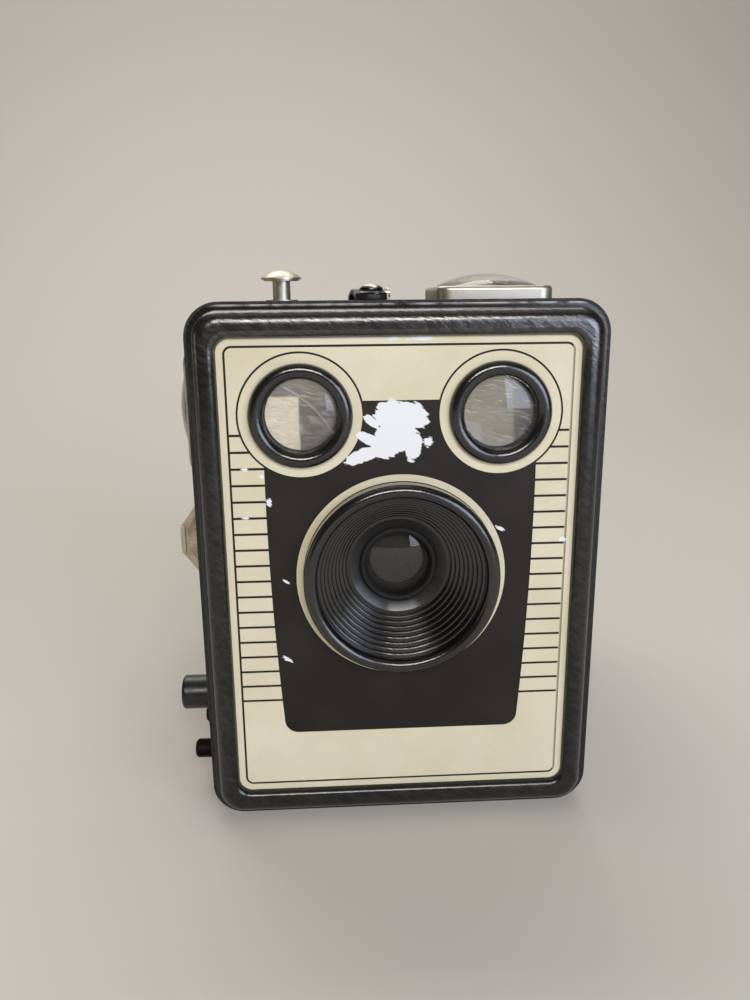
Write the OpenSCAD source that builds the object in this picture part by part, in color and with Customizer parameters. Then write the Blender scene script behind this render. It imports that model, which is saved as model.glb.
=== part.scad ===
// Box camera for roll film: covered steel case, striped front plate, ribbed lens hood,
// two brilliant finders, plunger release, pull-out film winder and a drop-down back.
// Millimetres. The front faces -Y, +Z is up and the base rests on Z = 0.
// "Depth" is measured backwards from the face of the front plate.

/* [Case] */
// Width over the leatherette
body_w = 84.5; // [84:0.5:96]
// Height over the leatherette
body_h = 112.5; // [110:0.5:126]
// Depth of the case from its front rim to its rear edge
case_d = 105.7; // [104:0.1:122]
// Radius of the four long corners
corner_r = 7; // [5:0.5:9]
// Thickness of the steel sheet
shell_t = 0.9; // [0.7:0.1:1.4]
// Thickness of the leatherette
leather_t = 0.6; // [0.4:0.1:1]

/* [Front] */
// Width of the black border beside the front plate
rim_side = 6.25; // [6:0.05:6.6]
// Width of the black border over and under the front plate
rim_end = 6.95; // [6.6:0.05:7.4]
// Corner radius of the front plate
plate_r = 2.8; // [2:0.2:4]
// Thickness of the front plate
plate_t = 0.9; // [0.7:0.1:1.2]
// How far the plate's face stands in front of the case rim
plate_proud = 2; // [1.6:0.1:2.4]
// Depth of the pressed lines and of the dark panel
emboss = 0.2; // [0.1:0.05:0.4]
// How far the frame's roll stands out of the plate
crest_proud = 1.6; // [1.2:0.1:2]
// Radius of the roll's inner side
roll_in_r = 1.5; // [1:0.1:1.8]
// Width of the flat land on the roll's crest
roll_land = 0.3; // [0.1:0.05:0.6]
// Ledge under the plate's edge
ledge = 1.6; // [1:0.1:2]
// Depth of the frame's skirt inside the case
skirt_d = 7; // [4:0.5:8]

/* [Front pattern] */
// Inset of the pinstripe from the plate's edge
pinstripe_inset = 1.35; // [1.2:0.05:2.2]
// Width of the pinstripe
pinstripe_w = 0.45; // [0.2:0.05:0.6]
// Number of side stripes
stripe_count = 18; // [8:1:20]
// Distance of the top stripe from the plate's top edge
stripe_top_gap = 18.9; // [16:0.1:23]
// Distance of the lowest stripe from the plate's bottom edge
stripe_low_gap = 21.73; // [18:0.1:26]
// Width of a side stripe
stripe_w = 0.5; // [0.3:0.05:0.9]
// Distance of the dark panel's top edge from the plate's top edge
panel_top_gap = 12.35; // [10:0.05:18]
// Distance of the dark panel's bottom edge from the plate's bottom edge
panel_low_gap = 13.8; // [10:0.1:18]
// Half width of the dark panel where its sides stand upright
panel_half = 27.6; // [25:0.1:29]
// Height over the plate's centre at which the panel's sides stand upright
panel_upright = 22; // [10:1:30]
// Radius of the panel's bowed sides
panel_bow_r = 706; // [400:1:1500]
// Radius of the panel's lower corners
panel_corner_r = 2.9; // [1:0.1:5]
// Radius of the line round each finder
ring_line_r = 12.5; // [11.5:0.1:13.2]
// Width of the line round each finder
ring_line_w = 0.4; // [0.2:0.05:0.6]
// Outer radius of the pale ring round the lens hood
lens_ring_line_r = 21.9; // [21.4:0.1:23]

/* [Lens and hood] */
// Outer radius of the hood's rim
hood_r = 20.4; // [19:0.1:21]
// Radius of the hood's mouth
mouth_r = 17.6; // [15:0.1:18.4]
// How far the rim stands out of the plate
hood_proud = 4.2; // [2:0.1:5]
// Number of steps inside the hood
hood_steps = 9; // [5:1:12]
// Rounding of the steps' noses, as a share of a step
nose_share = 0.7; // [0.3:0.05:0.8]
// Radius of the smooth floor inside the steps
floor_r = 10.6; // [9.4:0.1:12]
// Drop of the smooth floor from the steps to the lens
floor_drop = 1.1; // [0.6:0.1:2]
// Radius of the hood's tail at the mechanism plate
tail_r = 10.5; // [9.5:0.1:12]
// Radius of the lens
lens_r = 7.6; // [6.5:0.1:8]
// Centre thickness of the lens
lens_t = 2.2; // [1.8:0.1:2.6]
// Radius of the lens's front curve
lens_curve = 25; // [20:1:60]
// Depth of the lens's front vertex
lens_depth = 9.6; // [8.6:0.1:10.4]
// Radius of the fixed aperture
stop_r = 3.2; // [2:0.1:3.4]

/* [Finders] */
// Distance of each finder's axis from the middle
finder_x = 20; // [18:0.2:21]
// Distance of the finder axes from the plate's top edge
finder_drop = 15.25; // [14.6:0.05:18]
// Outer radius of the finder bezels
bezel_r = 10.45; // [9.6:0.05:11]
// Radius of the clear glass in the bezels
bezel_glass_r = 7.35; // [6:0.05:7.6]
// How far the bezels stand out of the plate
bezel_proud = 1.7; // [1:0.1:2.4]
// Depth of the eye lens axis
eye_d = 19; // [18:0.5:22]
// Side of the square eye lens
eye_side = 20.2; // [18:0.1:20.6]
// Height of the eye lens's crown over the case
eye_crown = 5.3; // [4:0.1:7]
// Radius of the eye lens's dome
eye_dome_r = 24; // [20:0.5:40]
// Height of the eye lens frames
eye_frame_h = 2.6; // [1.6:0.1:3.4]
// How much lower the side finder's frame and eye lens stand
side_sink = 1.2; // [0:0.1:1.4]
// Width of the eye lens frames' rail
eye_frame_w = 1.7; // [1:0.1:2.2]
// Thickness of the mirrors
mirror_t = 1.5; // [1:0.1:2.2]
// Sheet of the finder housings
housing_t = 0.8; // [0.5:0.1:1]

/* [Release and shutter] */
// Place of the plunger across the top
plunger_x = -23.45; // [-26:0.05:-21]
// Depth of the plunger
plunger_d = 12; // [9:0.5:14]
// Radius of the plunger's head
plunger_r = 4.1; // [3.5:0.1:5.5]
// Radius of the plunger's stem
stem_r = 1.8; // [1.4:0.1:2.2]
// Height of the plunger's crown over the case
plunger_h = 6.1; // [6.1:0.05:8]
// Travel of the plunger
stroke = 3.5; // [2.8:0.1:3.5]
// Depth of the mechanism plate
mech_depth = 14; // [13.6:0.1:15]
// Thickness of the mechanism plate
mech_t = 1; // [0.8:0.1:1.4]
// Thickness of the shutter blade
blade_t = 0.7; // [0.4:0.1:0.9]
// Place of the blade's pivot to the right of the lens axis
pivot_x = 4.5; // [4:0.1:5]
// Height of the blade's pivot over the lens axis
pivot_up = 13.75; // [13:0.05:14.5]
// Half of the angle that the blade turns
blade_half_turn = 28; // [28:0.5:31]
// Radius of the opening in the blade
blade_hole_r = 3.8; // [3.3:0.1:4]
// Turns of the return spring
spring_turns = 10; // [6:1:12]
// Mean radius of the return spring
spring_r = 1.5; // [1.2:0.05:1.8]
// Radius of the spring wire
spring_wire_r = 0.3; // [0.2:0.02:0.35]

/* [Side controls] */
// Height of the time tab over the lens axis
time_up = 5.5; // [2:0.5:8]
// Height of the time tab at the wall
time_base = 19; // [14:0.5:21]
// Height of the time tab at its tip
time_tip = 6; // [4:0.5:8]
// How far the time tab stands out
time_out = 5.2; // [4:0.1:7]
// Travel of the time tab
time_travel = 5; // [3:0.5:6]
// Thickness of the time tab's sheet
time_t = 1; // [0.8:0.1:1.2]
// Height of the close-up knob over the base
close_z = 22; // [18:0.5:24]
// Radius of the close-up knob
close_knob_r = 3.95; // [3.5:0.05:5]
// How far the close-up knob stands out
close_out = 8.4; // [8:0.1:12]
// Travel of the close-up lens
close_travel = 12; // [11.5:0.1:12.2]
// Radius of the close-up lens
close_lens_r = 5.5; // [5:0.1:5.8]
// Height of the flash pins over the base
flash_z = 11.75; // [10:0.25:13]
// Depth of the front flash pin
flash_d = 10; // [9:0.5:10.5]
// Spacing of the two flash pins
flash_pitch = 16; // [15.5:0.1:18]
// Radius of a flash pin
flash_r = 2.1; // [1.8:0.05:2.5]
// How far a flash pin stands out
flash_out = 4.7; // [4:0.1:6]

/* [Film carrier and winder] */
// Distance of the picture gate from the spool's end
gate_side = 3.4; // [3:0.1:5]
// Distance of the picture gate from the case's top and base
gate_end = 14.75; // [14.2:0.05:16]
// Gap from the gate to the rear edge of the case
gate_back = 4.5; // [4:0.1:6]
// Distance of the spool's end from the outside of the case
spool_side = 10.35; // [9.8:0.05:11.5]
// Radius of the spool's flanges
spool_flange_r = 11; // [10:0.1:11.4]
// Radius of the spool's core
spool_core_r = 4; // [3.6:0.1:5]
// Depth of the spool axes
spool_d = 66; // [64:0.5:70]
// Distance of the spool axes from the top and the base
spool_inset = 13.5; // [13.2:0.1:15]
// Radius of the guide rollers
roller_r = 3; // [2.5:0.1:3.2]
// Radius of the winding knob
knob_r = 11; // [9:0.1:11.5]
// How far the winding knob stands out
knob_out = 9; // [8:0.1:11]
// Number of flutes round the winding knob
knob_flutes = 28; // [16:2:36]
// Pull of the winding knob that frees the spool
knob_pull = 6.5; // [6:0.1:7]

/* [Back] */
// Thickness of the back
door_t = 6; // [5.4:0.1:7]
// Radius of the hinge pin
hinge_pin_r = 1.2; // [0.9:0.05:1.4]
// Radius of the round film window
window_r = 5; // [4:0.1:6]
// Height of the film window over the base
window_z = 36; // [28:0.5:60]
// Width of the latch leaf
latch_w = 6.5; // [6:0.1:16]
// Radius of the latch stud
latch_stud_r = 1.4; // [1:0.1:1.8]

/* [Strap and tripod] */
// Place of the strap across the top
strap_x = -5.1; // [-8:0.1:-4]
// Width of the strap
strap_w = 6.6; // [6:0.2:10]
// Thickness of the strap
strap_t = 1.2; // [1:0.1:2.4]
// Distance of the rear strap stud from the rear edge of the case
strap_rear = 27.7; // [25:0.1:36]
// Rise of the strap's middle over the case
strap_rise = 1.4; // [0.8:0.1:2.4]
// Radius of the tripod screw's hole
tripod_r = 2.6; // [2.5:0.05:3.2]
// Depth of the tripod screw's hole
tripod_depth = 6; // [5:0.5:8]
// Depth of the tripod bushes from the plate's face
tripod_d = 34; // [30:0.5:42]

/* [Clearances] */
// Gap between pieces that move past each other
slip = 0.3; // [0.2:0.05:0.4]
// Radial gap of a running fit
run = 0.05; // [0.02:0.01:0.08]

/* [Hidden] */
$fn = 64;
eps = 0.01;
wall_t = shell_t + leather_t;
inner_w = body_w - 2 * wall_t;
inner_h = body_h - 2 * wall_t;
front_y = -case_d / 2;
rear_y = case_d / 2;
plate_y = front_y - plate_proud;
mid_z = body_h / 2;
rear_d = case_d + plate_proud;
plate_w = body_w - 2 * rim_side;
plate_h = body_h - 2 * rim_end;
// The frame's roll fills the case's mouth round the plate
mouth_w = inner_w - 2 * run;
mouth_h = inner_h - 2 * run;
mouth_corner = corner_r - wall_t - run;
flange_t = 1.2;
flange_d = plate_t + flange_t;
roll_out_r = (mouth_w - plate_w) / 2 - run - roll_in_r - roll_land;
// Heights on the plate, over its centre
stripe_top = plate_h / 2 - stripe_top_gap;
stripe_pitch = (plate_h - stripe_top_gap - stripe_low_gap) / (stripe_count - 1);
panel_top = plate_h / 2 - panel_top_gap;
panel_bottom = plate_h / 2 - panel_low_gap;
finder_up = plate_h / 2 - finder_drop;
// Finder places and the square tunnel behind each bezel
finder_z = mid_z + finder_up;
tunnel = eye_side / 2 - 0.5;
housing_half = tunnel + housing_t;
barrel_r = bezel_glass_r + 1.5;
barrel_end = plate_t + 2.1;
objective_r = bezel_glass_r + 0.25;
eye_hole = eye_side + 0.4;
// Mechanism: planes stacked behind the mechanism plate
blade_d = mech_depth + mech_t + slip;
slide_d = blade_d + blade_t + slip;
slide_t = 0.8;
close_d = slide_d + slide_t + 0.6;
close_t = 0.8;
close_rod_r = 2;
close_axis_d = close_d + close_t / 2;
cover_d = close_d + close_t + 1;
cover_t = 0.8;
cover_half = inner_w / 2 - 8.75;
cover_drop = 26;
post_in = 6;
pivot_z = mid_z + pivot_up;
pivot_r = 1.45;
blade_reach = norm([pivot_x, pivot_up]);
blade_to_lens = -atan2(pivot_x, pivot_up);
drive_r = stroke / (2 * sin(blade_half_turn));
drive_pin_r = 0.7;
mech_top = finder_z - housing_half - 2.3;
tongue_half = finder_x - housing_half - 2.2;
slide_left = pivot_x - 10;
slide_right = pivot_x - pivot_r - 0.5;
shelf_z = finder_z + housing_half + stroke + 0.8;
shelf_t = 1.5;
spring_x = pivot_x + 0.3;
spring_d = slide_d + slide_t / 2 + 1.8;
spring_low = mech_top + 5.4;
spring_high = spring_low + 18;
lug_t = 1;
time_d = mech_depth - slip - time_t;
time_z = mid_z + time_up;
time_neck = 8;
bush_wall = 1.15;
// Film carrier
spool_l = body_w - 2 * spool_side;
gate_w = spool_l - 2 * gate_side;
gate_h = body_h - 2 * gate_end;
gate_d = rear_d - gate_back;
gate_t = 1;
side_in = spool_l / 2 + 0.5;
side_t = 0.8;
side_front = 52;
cone_front = cover_d + cover_t + 14;
cone_half = 11;
cone_t = 0.8;
spool_top_z = body_h - spool_inset;
roller_d = gate_d + gate_t - roller_r + 0.3;
roller_up = gate_h / 2 + 6;
spool_pin_r = 1.5;
shaft_r = 2;
sleeve_r = 3.2;
winding_bush_r = 4.6;
sleeve_end = knob_out - 4.25;
key_w = 1.3;
key_h = 4.8;
// Back and its hinge
hinge_y = rear_y + slip + door_t / 2;
hinge_z = door_t / 2;
door_y = rear_y + slip;
door_back = 0.9;
rim_in = 3;
rim_t = 0.8;
knuckle_x = 20;
knuckle_l = 11.4;
hinge_l = 68;
frame_base = 0.5;
cover_sheet = 0.7;
window_travel = 2 * window_r + 3;
latch_y = rear_y - 10;
latch_sheet = 0.9;
latch_pin_r = 0.8;
latch_barrel_r = 1.7;
latch_axis_h = slip + latch_barrel_r;
tripod_boss_r = 4;
// Strap
strap_span = rear_d - strap_rear - plunger_d;
stud_head_t = 0.8;

// Helpers

module rounded(w, h, r) {
  square([w - 2 * r, h], center = true);
  square([w, h - 2 * r], center = true);
  for (x = [-1, 1], y = [-1, 1])
    translate([x * (w / 2 - r), y * (h / 2 - r)]) circle(r);
}

// An outline in X and Z, extruded from one depth to another
module sheet(from_d, to_d)
  translate([0, plate_y + to_d, 0]) rotate([90, 0, 0]) linear_extrude(to_d - from_d) children();

// An outline in Y and Z, extruded along X
module side_sheet(from_x, to_x)
  translate([from_x, 0, 0]) rotate([90, 0, 90]) linear_extrude(to_x - from_x) children();

// A place whose local Z runs backwards along the optical axis
module optical(x, z, d = 0) translate([x, plate_y + d, z]) rotate([-90, 0, 0]) children();

// Places on the walls, whose local Z runs outwards
module on_left(d, z) translate([-body_w / 2, plate_y + d, z]) rotate([0, -90, 0]) children();
module on_right(d, z) translate([body_w / 2, plate_y + d, z]) rotate([0, 90, 0]) children();
module on_top(x, d) translate([x, plate_y + d, body_h]) children();

// A place whose local Z runs along +X
module across(d, z, x = 0) translate([x, plate_y + d, z]) rotate([0, 90, 0]) children();

// A finder's own place: local Y runs backwards, local Z towards the eye lens
module at_finder(is_top) {
  if (is_top) translate([finder_x, plate_y, finder_z]) children();
  else translate([-finder_x, plate_y, finder_z]) rotate([0, -90, 0]) children();
}
function reach(is_top) = is_top ? body_h - finder_z : body_w / 2 - finder_x;

// A profile (outwards, upwards) swept round a rounded rectangle
module sweep_round(w, h, r) {
  for (a = [0, 180]) rotate(a) translate([w / 2, h / 2 - r, 0])
    rotate([90, 0, 0]) linear_extrude(h - 2 * r) children();
  for (a = [90, 270]) rotate(a) translate([h / 2, w / 2 - r, 0])
    rotate([90, 0, 0]) linear_extrude(w - 2 * r) children();
  for (c = [[1, 1, 0], [-1, 1, 90], [-1, -1, 180], [1, -1, 270]])
    translate([c[0] * (w / 2 - r), c[1] * (h / 2 - r), 0]) rotate(c[2])
      rotate_extrude(angle = 90) translate([r, 0]) children();
}

module tube(r, bore, h) difference() {
  cylinder(r = r, h = h);
  translate([0, 0, -1]) cylinder(r = bore, h = h + 2);
}

// Case

// Everything that passes through the covered walls
module wall_holes() {
  for (is_top = [true, false]) at_finder(is_top) translate([0, eye_d, reach(is_top) - wall_t - 1])
    linear_extrude(wall_t + 2) rounded(eye_hole, eye_hole, 1.2);
  on_top(plunger_x, plunger_d) translate([0, 0, -wall_t - 1])
    cylinder(r = stem_r + bush_wall + run, h = wall_t + 2);
  for (s = [-1, 1]) on_top(strap_x, strap_mid_d + s * strap_span / 2)
    translate([0, 0, -wall_t - 1]) cylinder(r = strap_shank_r() + run, h = wall_t + 2);
  on_left(spool_d, spool_top_z) translate([0, 0, -wall_t - 1])
    cylinder(r = winding_bush_r + run, h = wall_t + 2);
  on_left(close_axis_d, close_z) translate([0, 0, -wall_t - 1])
    cylinder(r = close_rod_r + bush_wall + 2 * run, h = wall_t + 2);
  for (i = [0, 1]) on_left(flash_d + i * flash_pitch, flash_z) translate([0, 0, -wall_t - 1])
    cylinder(r = flash_barrel_r() + run, h = wall_t + 2);
  translate([-body_w / 2 - 1, plate_y + time_d - slip, time_z - time_neck / 2 - slip])
    cube([wall_t + 2, time_t + 2 * slip, time_neck + 2 * slip]);
  translate([0, plate_y + tripod_d, -1]) cylinder(r = tripod_boss_r + run, h = wall_t + 2);
  on_right(tripod_d, mid_z) translate([0, 0, -wall_t - 1])
    cylinder(r = tripod_boss_r + run, h = wall_t + 2);
}

module case_shell() color("dimgray") difference() {
  sheet(plate_proud, rear_d) translate([0, mid_z]) difference() {
    rounded(body_w - 2 * leather_t, body_h - 2 * leather_t, corner_r - leather_t);
    rounded(inner_w, inner_h, corner_r - wall_t);
  }
  wall_holes();
}

module leatherette_wrap() color("#1d1a18") difference() {
  sheet(plate_proud, rear_d) translate([0, mid_z]) difference() {
    rounded(body_w, body_h, corner_r);
    rounded(body_w - 2 * leather_t, body_h - 2 * leather_t, corner_r - leather_t);
  }
  wall_holes();
}

// Front

// Half of the roll's section, from its crest down to one side
module roll_half(r, deep) {
  translate([-r - roll_land / 2, 0]) square([roll_land / 2 + eps, deep]);
  translate([-r, 0]) square([r, deep - r]);
  intersection() {
    translate([-r, deep - r]) circle(r);
    translate([-r, 0]) square([r, deep]);
  }
}

module front_frame() color("#151413") {
  deep = flange_d + crest_proud;
  translate([0, plate_y + flange_d, mid_z]) rotate([90, 0, 0]) {
    sweep_round(mouth_w, mouth_h, mouth_corner) roll_half(roll_out_r, deep);
    sweep_round(plate_w + 2 * run, plate_h + 2 * run, plate_r) mirror([1, 0]) roll_half(roll_in_r, deep);
  }
  sheet(-crest_proud, flange_d) translate([0, mid_z]) difference() {
    rounded(mouth_w - 2 * roll_out_r, mouth_h - 2 * roll_out_r, mouth_corner - roll_out_r);
    rounded(plate_w + 2 * run + 2 * roll_in_r, plate_h + 2 * run + 2 * roll_in_r, plate_r + roll_in_r);
  }
  sheet(plate_t, flange_d) translate([0, mid_z]) difference() {
    rounded(mouth_w, mouth_h, mouth_corner);
    rounded(plate_w - 2 * ledge, plate_h - 2 * ledge, plate_r / 2);
  }
  sheet(flange_d - eps, skirt_d) translate([0, mid_z]) difference() {
    rounded(mouth_w, mouth_h, mouth_corner);
    rounded(mouth_w - 1.8, mouth_h - 1.8, mouth_corner - 0.9);
  }
}

// Half width of the dark panel at a height over the plate's centre
function panel_edge(z) = panel_half - panel_bow_r + sqrt(pow(panel_bow_r, 2) - pow(z - panel_upright, 2));

module dark_panel() {
  corner_z = -panel_bottom + panel_corner_r;
  corner_x = panel_edge(corner_z) - panel_corner_r;
  right = concat(
    [for (i = [0 : 16]) let (z = panel_top + (corner_z - panel_top) * i / 16) [panel_edge(z), z]],
    [for (a = [10 : 10 : 90]) [corner_x + panel_corner_r * cos(a), corner_z - panel_corner_r * sin(a)]]);
  left = [for (i = [len(right) - 1 : -1 : 0]) [-right[i][0], right[i][1]]];
  polygon(concat(right, left));
}

module finder_discs(r) for (s = [-1, 1]) translate([s * finder_x, finder_up]) circle(r);

module side_stripes() {
  stripe_end = plate_w / 2 - pinstripe_inset;
  for (i = [0 : stripe_count - 1], s = [0, 1]) mirror([s, 0])
    translate([panel_half - 3, stripe_top - i * stripe_pitch - stripe_w / 2])
      square([stripe_end - panel_half + 3, stripe_w]);
}

module pinstripe() {
  w = plate_w - 2 * pinstripe_inset;
  h = plate_h - 2 * pinstripe_inset;
  difference() {
    rounded(w, h, 1.7);
    rounded(w - 2 * pinstripe_w, h - 2 * pinstripe_w, 1.7 - pinstripe_w);
  }
}

// All that is pressed into the plate's face
module pressed_pattern() {
  difference() {
    union() {
      dark_panel();
      side_stripes();
    }
    finder_discs(ring_line_r);
    circle(lens_ring_line_r);
  }
  difference() {
    finder_discs(ring_line_r + ring_line_w / 2);
    finder_discs(ring_line_r - ring_line_w / 2);
  }
  pinstripe();
}

module faceplate() color("#d8d0b4") difference() {
  sheet(0, plate_t) translate([0, mid_z]) difference() {
    rounded(plate_w, plate_h, plate_r);
    circle(hood_r + 2 * run);
    finder_discs(barrel_r + 2 * run);
  }
  sheet(-1, emboss) translate([0, mid_z]) pressed_pattern();
}

// Lens and hood

pocket_r = lens_r + 0.9;
pocket_d = lens_depth - 1.6;

module lens_hood() color("#1a1918") optical(0, mid_z) {
  lip = (hood_r - mouth_r) / 2;
  floor_d = pocket_d - floor_drop;
  step_r = (mouth_r - floor_r) / hood_steps;
  step_d = (floor_d + hood_proud - lip) / hood_steps;
  nose_r = nose_share * min(step_r, step_d);
  stairs = concat([[pocket_r, pocket_d], [floor_r, floor_d], [floor_r + step_r, floor_d]],
    [for (i = [1 : hood_steps - 1]) each concat(
      [for (a = [0 : 22.5 : 90])
        [floor_r + i * step_r + nose_r * (1 - cos(a)), floor_d - i * step_d + nose_r * (1 - sin(a))]],
      [[floor_r + (i + 1) * step_r, floor_d - i * step_d]])]);
  rotate_extrude() {
    translate([mouth_r + lip, lip - hood_proud]) circle(lip);
    polygon(concat(stairs, [
      [mouth_r, lip - hood_proud], [hood_r, lip - hood_proud], [hood_r, plate_t],
      [hood_r + 1.3, plate_t], [hood_r + 1.3, plate_t + 1.5], [hood_r - 0.7, plate_t + 1.5],
      [tail_r, lens_depth], [tail_r, mech_depth], [lens_r - 0.8, mech_depth],
      [lens_r - 0.8, lens_depth + lens_t], [lens_r + run, lens_depth + lens_t],
      [lens_r + run, lens_depth], [pocket_r, lens_depth]]));
  }
}

module lens() color("#7d8a92") intersection() {
  optical(0, mid_z, lens_depth) cylinder(r = lens_r, h = lens_t);
  optical(0, mid_z, lens_depth + lens_curve) rotate([90, 0, 0]) sphere(lens_curve, $fn = 240);
}

module lens_ring() color("#2a2826") optical(0, mid_z) rotate_extrude() {
  lip_d = lens_depth + lens_curve - sqrt(pow(lens_curve, 2) - pow(lens_r - 0.3, 2)) - 2 * run;
  polygon([[lens_r - 0.4, pocket_d], [pocket_r - run, pocket_d], [pocket_r - run, lens_depth - run],
    [lens_r - run, lens_depth - run], [lens_r - run, lip_d], [lens_r - 0.4, lip_d - 0.1]]);
  bead_r = (pocket_r - run - lens_r + 0.4) / 2;
  translate([pocket_r - run - bead_r, pocket_d]) circle(bead_r);
}

// Finders

module finder_bezels() color("#141312") for (s = [-1, 1]) optical(s * finder_x, finder_z) rotate_extrude() {
  half = (bezel_r - bezel_glass_r) / 2;
  intersection() {
    union() {
      translate([bezel_glass_r + half, half - bezel_proud]) circle(half);
      translate([bezel_glass_r, half - bezel_proud]) square([2 * half, bezel_proud]);
    }
    translate([bezel_glass_r, -bezel_proud]) square([2 * half, bezel_proud]);
  }
  translate([objective_r + run, 0]) square([barrel_r - objective_r - run, barrel_end]);
}

module finder_objectives() color("#93a0a6") for (s = [-1, 1]) intersection() {
  optical(s * finder_x, finder_z) cylinder(r = objective_r, h = barrel_end);
  optical(s * finder_x, finder_z, 30) rotate([90, 0, 0]) sphere(30, $fn = 240);
}

module finder_housing(is_top) color("#26231f") at_finder(is_top) difference() {
  z_end = reach(is_top) - wall_t;
  slope = mirror_t * sqrt(2);
  outer_slope = slope + housing_t * sqrt(2);
  side_sheet(-housing_half, housing_half) polygon([
    [barrel_end, -housing_half], [eye_d - housing_half + outer_slope, -housing_half],
    [eye_d + housing_half, housing_half - outer_slope], [eye_d + housing_half, z_end],
    [eye_d - housing_half, z_end], [eye_d - housing_half, housing_half], [barrel_end, housing_half]]);
  side_sheet(-tunnel, tunnel) polygon([
    [barrel_end + housing_t, -tunnel], [eye_d - tunnel + slope, -tunnel],
    [eye_d + tunnel, tunnel - slope], [eye_d + tunnel, z_end + 1],
    [eye_d - tunnel, z_end + 1], [eye_d - tunnel, tunnel], [barrel_end + housing_t, tunnel]]);
  translate([0, barrel_end - 1, 0]) rotate([-90, 0, 0]) cylinder(r = objective_r - 0.6, h = 3);
}

module finder_mirrors() color("#c9d2d6") for (is_top = [true, false]) at_finder(is_top)
  translate([0, eye_d, 0]) rotate([45, 0, 0]) {
    half = sqrt(2) * (tunnel - mirror_t / sqrt(2) - 2 * run);
    translate([-tunnel + 2 * run, -half, -mirror_t])
      cube([2 * tunnel - 4 * run, 2 * half, mirror_t]);
  }

function sunk(is_top) = is_top ? 0 : side_sink;

module finder_frame(is_top) color("#c6c1b6") at_finder(is_top)
  translate([0, eye_d, reach(is_top)]) sweep_round(eye_hole, eye_hole, 1.2) {
    rail_h = eye_frame_h - sunk(is_top);
    round_r = min(eye_frame_w, rail_h) / 2;
    square([eye_frame_w, rail_h - round_r]);
    if (eye_frame_w > rail_h) translate([round_r, 0]) square([eye_frame_w - rail_h, rail_h]);
    for (x = [round_r, eye_frame_w - round_r]) translate([x, rail_h - round_r]) circle(round_r);
  }

module finder_eye(is_top) color("#8fa3ab") at_finder(is_top)
  translate([0, eye_d, reach(is_top)]) intersection() {
    crown = eye_crown - sunk(is_top);
    translate([0, 0, -wall_t]) linear_extrude(wall_t + crown) rounded(eye_side, eye_side, 1.1);
    translate([0, 0, crown - eye_dome_r]) rotate([90, 0, 0]) sphere(eye_dome_r);
  }

// Mechanism

post_places = [for (x = [post_in - cover_half, cover_half - post_in],
  z = [mid_z - cover_drop + 4, mech_top - 5.35]) [x, z]];

module mechanism_plate() color("#8b8a86") {
  half = inner_w / 2 - slip;
  low = wall_t + slip;
  difference() {
    union() {
      sheet(mech_depth, mech_depth + mech_t) {
        intersection() {
          translate([-half, low]) square([2 * half, mech_top - low]);
          translate([0, mid_z]) rounded(2 * half, inner_h - 2 * slip, corner_r - wall_t);
        }
        translate([-tongue_half, low])
          square([2 * tongue_half, body_h - wall_t - stud_head_t - slip - low]);
      }
      for (x = [-half, half - side_t])
        translate([x, plate_y + mech_depth + mech_t, close_z + 6])
          cube([side_t, 9, mech_top - close_z - 14]);
    }
    optical(0, mid_z) cylinder(r = stop_r, h = mech_depth + 5);
    optical(pivot_x, pivot_z) cylinder(r = pivot_r + run, h = mech_depth + 5);
    // Room for the close-up rod's bush
    on_left(close_axis_d, close_z) translate([0, 0, -10])
      cylinder(r = close_rod_r + bush_wall + run + slip, h = 10);
  }
  // Guide loop of the time slide
  loop_x = -body_w / 2 + 9;
  loop_d = time_d - slip - 0.8;
  loop_half = time_neck / 2 + slip;
  for (z = [time_z - loop_half - 1, time_z + loop_half])
    translate([loop_x, plate_y + loop_d, z]) cube([4, mech_depth - loop_d, 1]);
  translate([loop_x, plate_y + loop_d, time_z - loop_half - 1]) cube([4, 0.8, 2 * loop_half + 2]);
  // Upper lug of the return spring
  translate([spring_x - 1.8, plate_y + mech_depth + mech_t, spring_high])
    cube([3.6, spring_d + spring_r - mech_depth, lug_t]);
}

module spacer_posts() color("#b3b0a8") for (p = post_places)
  optical(p[0], p[1], mech_depth + mech_t) cylinder(r = 2, h = cover_d - mech_depth - mech_t);

module mechanism_cover() color("#4a4743") sheet(cover_d, cover_d + cover_t) difference() {
  low = mid_z - cover_drop;
  translate([-cover_half, low]) square([2 * cover_half, mech_top - 1.6 - low]);
  translate([0, mid_z]) circle(9);
}

module blade_pivot() color("#c3beb2") optical(pivot_x, pivot_z) {
  translate([0, 0, mech_depth - 0.8]) cylinder(r = 3, h = 0.8);
  translate([0, 0, mech_depth - 0.8]) cylinder(r = pivot_r, h = cover_d - mech_depth + 0.8);
}

// Point on the blade at an angle from straight down, positive to the right
function blade_point(r, a) = [pivot_x + r * sin(a), pivot_z - r * cos(a)];

module shutter_blade() color("#5d5b57") {
  tip_r = blade_reach + blade_hole_r + 1.5;
  first = blade_to_lens - blade_half_turn * 2 - 17;
  last = blade_to_lens + 16;
  hole_at = blade_to_lens - blade_half_turn;
  sheet(blade_d, blade_d + blade_t) difference() {
    union() {
      translate([pivot_x, pivot_z]) circle(5.2);
      intersection() {
        translate([pivot_x, pivot_z]) circle(tip_r);
        polygon(concat([[pivot_x, pivot_z]],
          [for (i = [0 : 4]) blade_point(2 * tip_r, first + (last - first) * i / 4)]));
      }
    }
    translate([pivot_x, pivot_z]) circle(pivot_r + run);
    translate(blade_point(blade_reach, hole_at)) circle(blade_hole_r);
  }
  drive = [pivot_x - drive_r * cos(blade_half_turn), pivot_z + drive_r * sin(blade_half_turn)];
  optical(drive[0], drive[1], blade_d + blade_t) cylinder(r = drive_pin_r, h = slip + slide_t);
}

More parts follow.
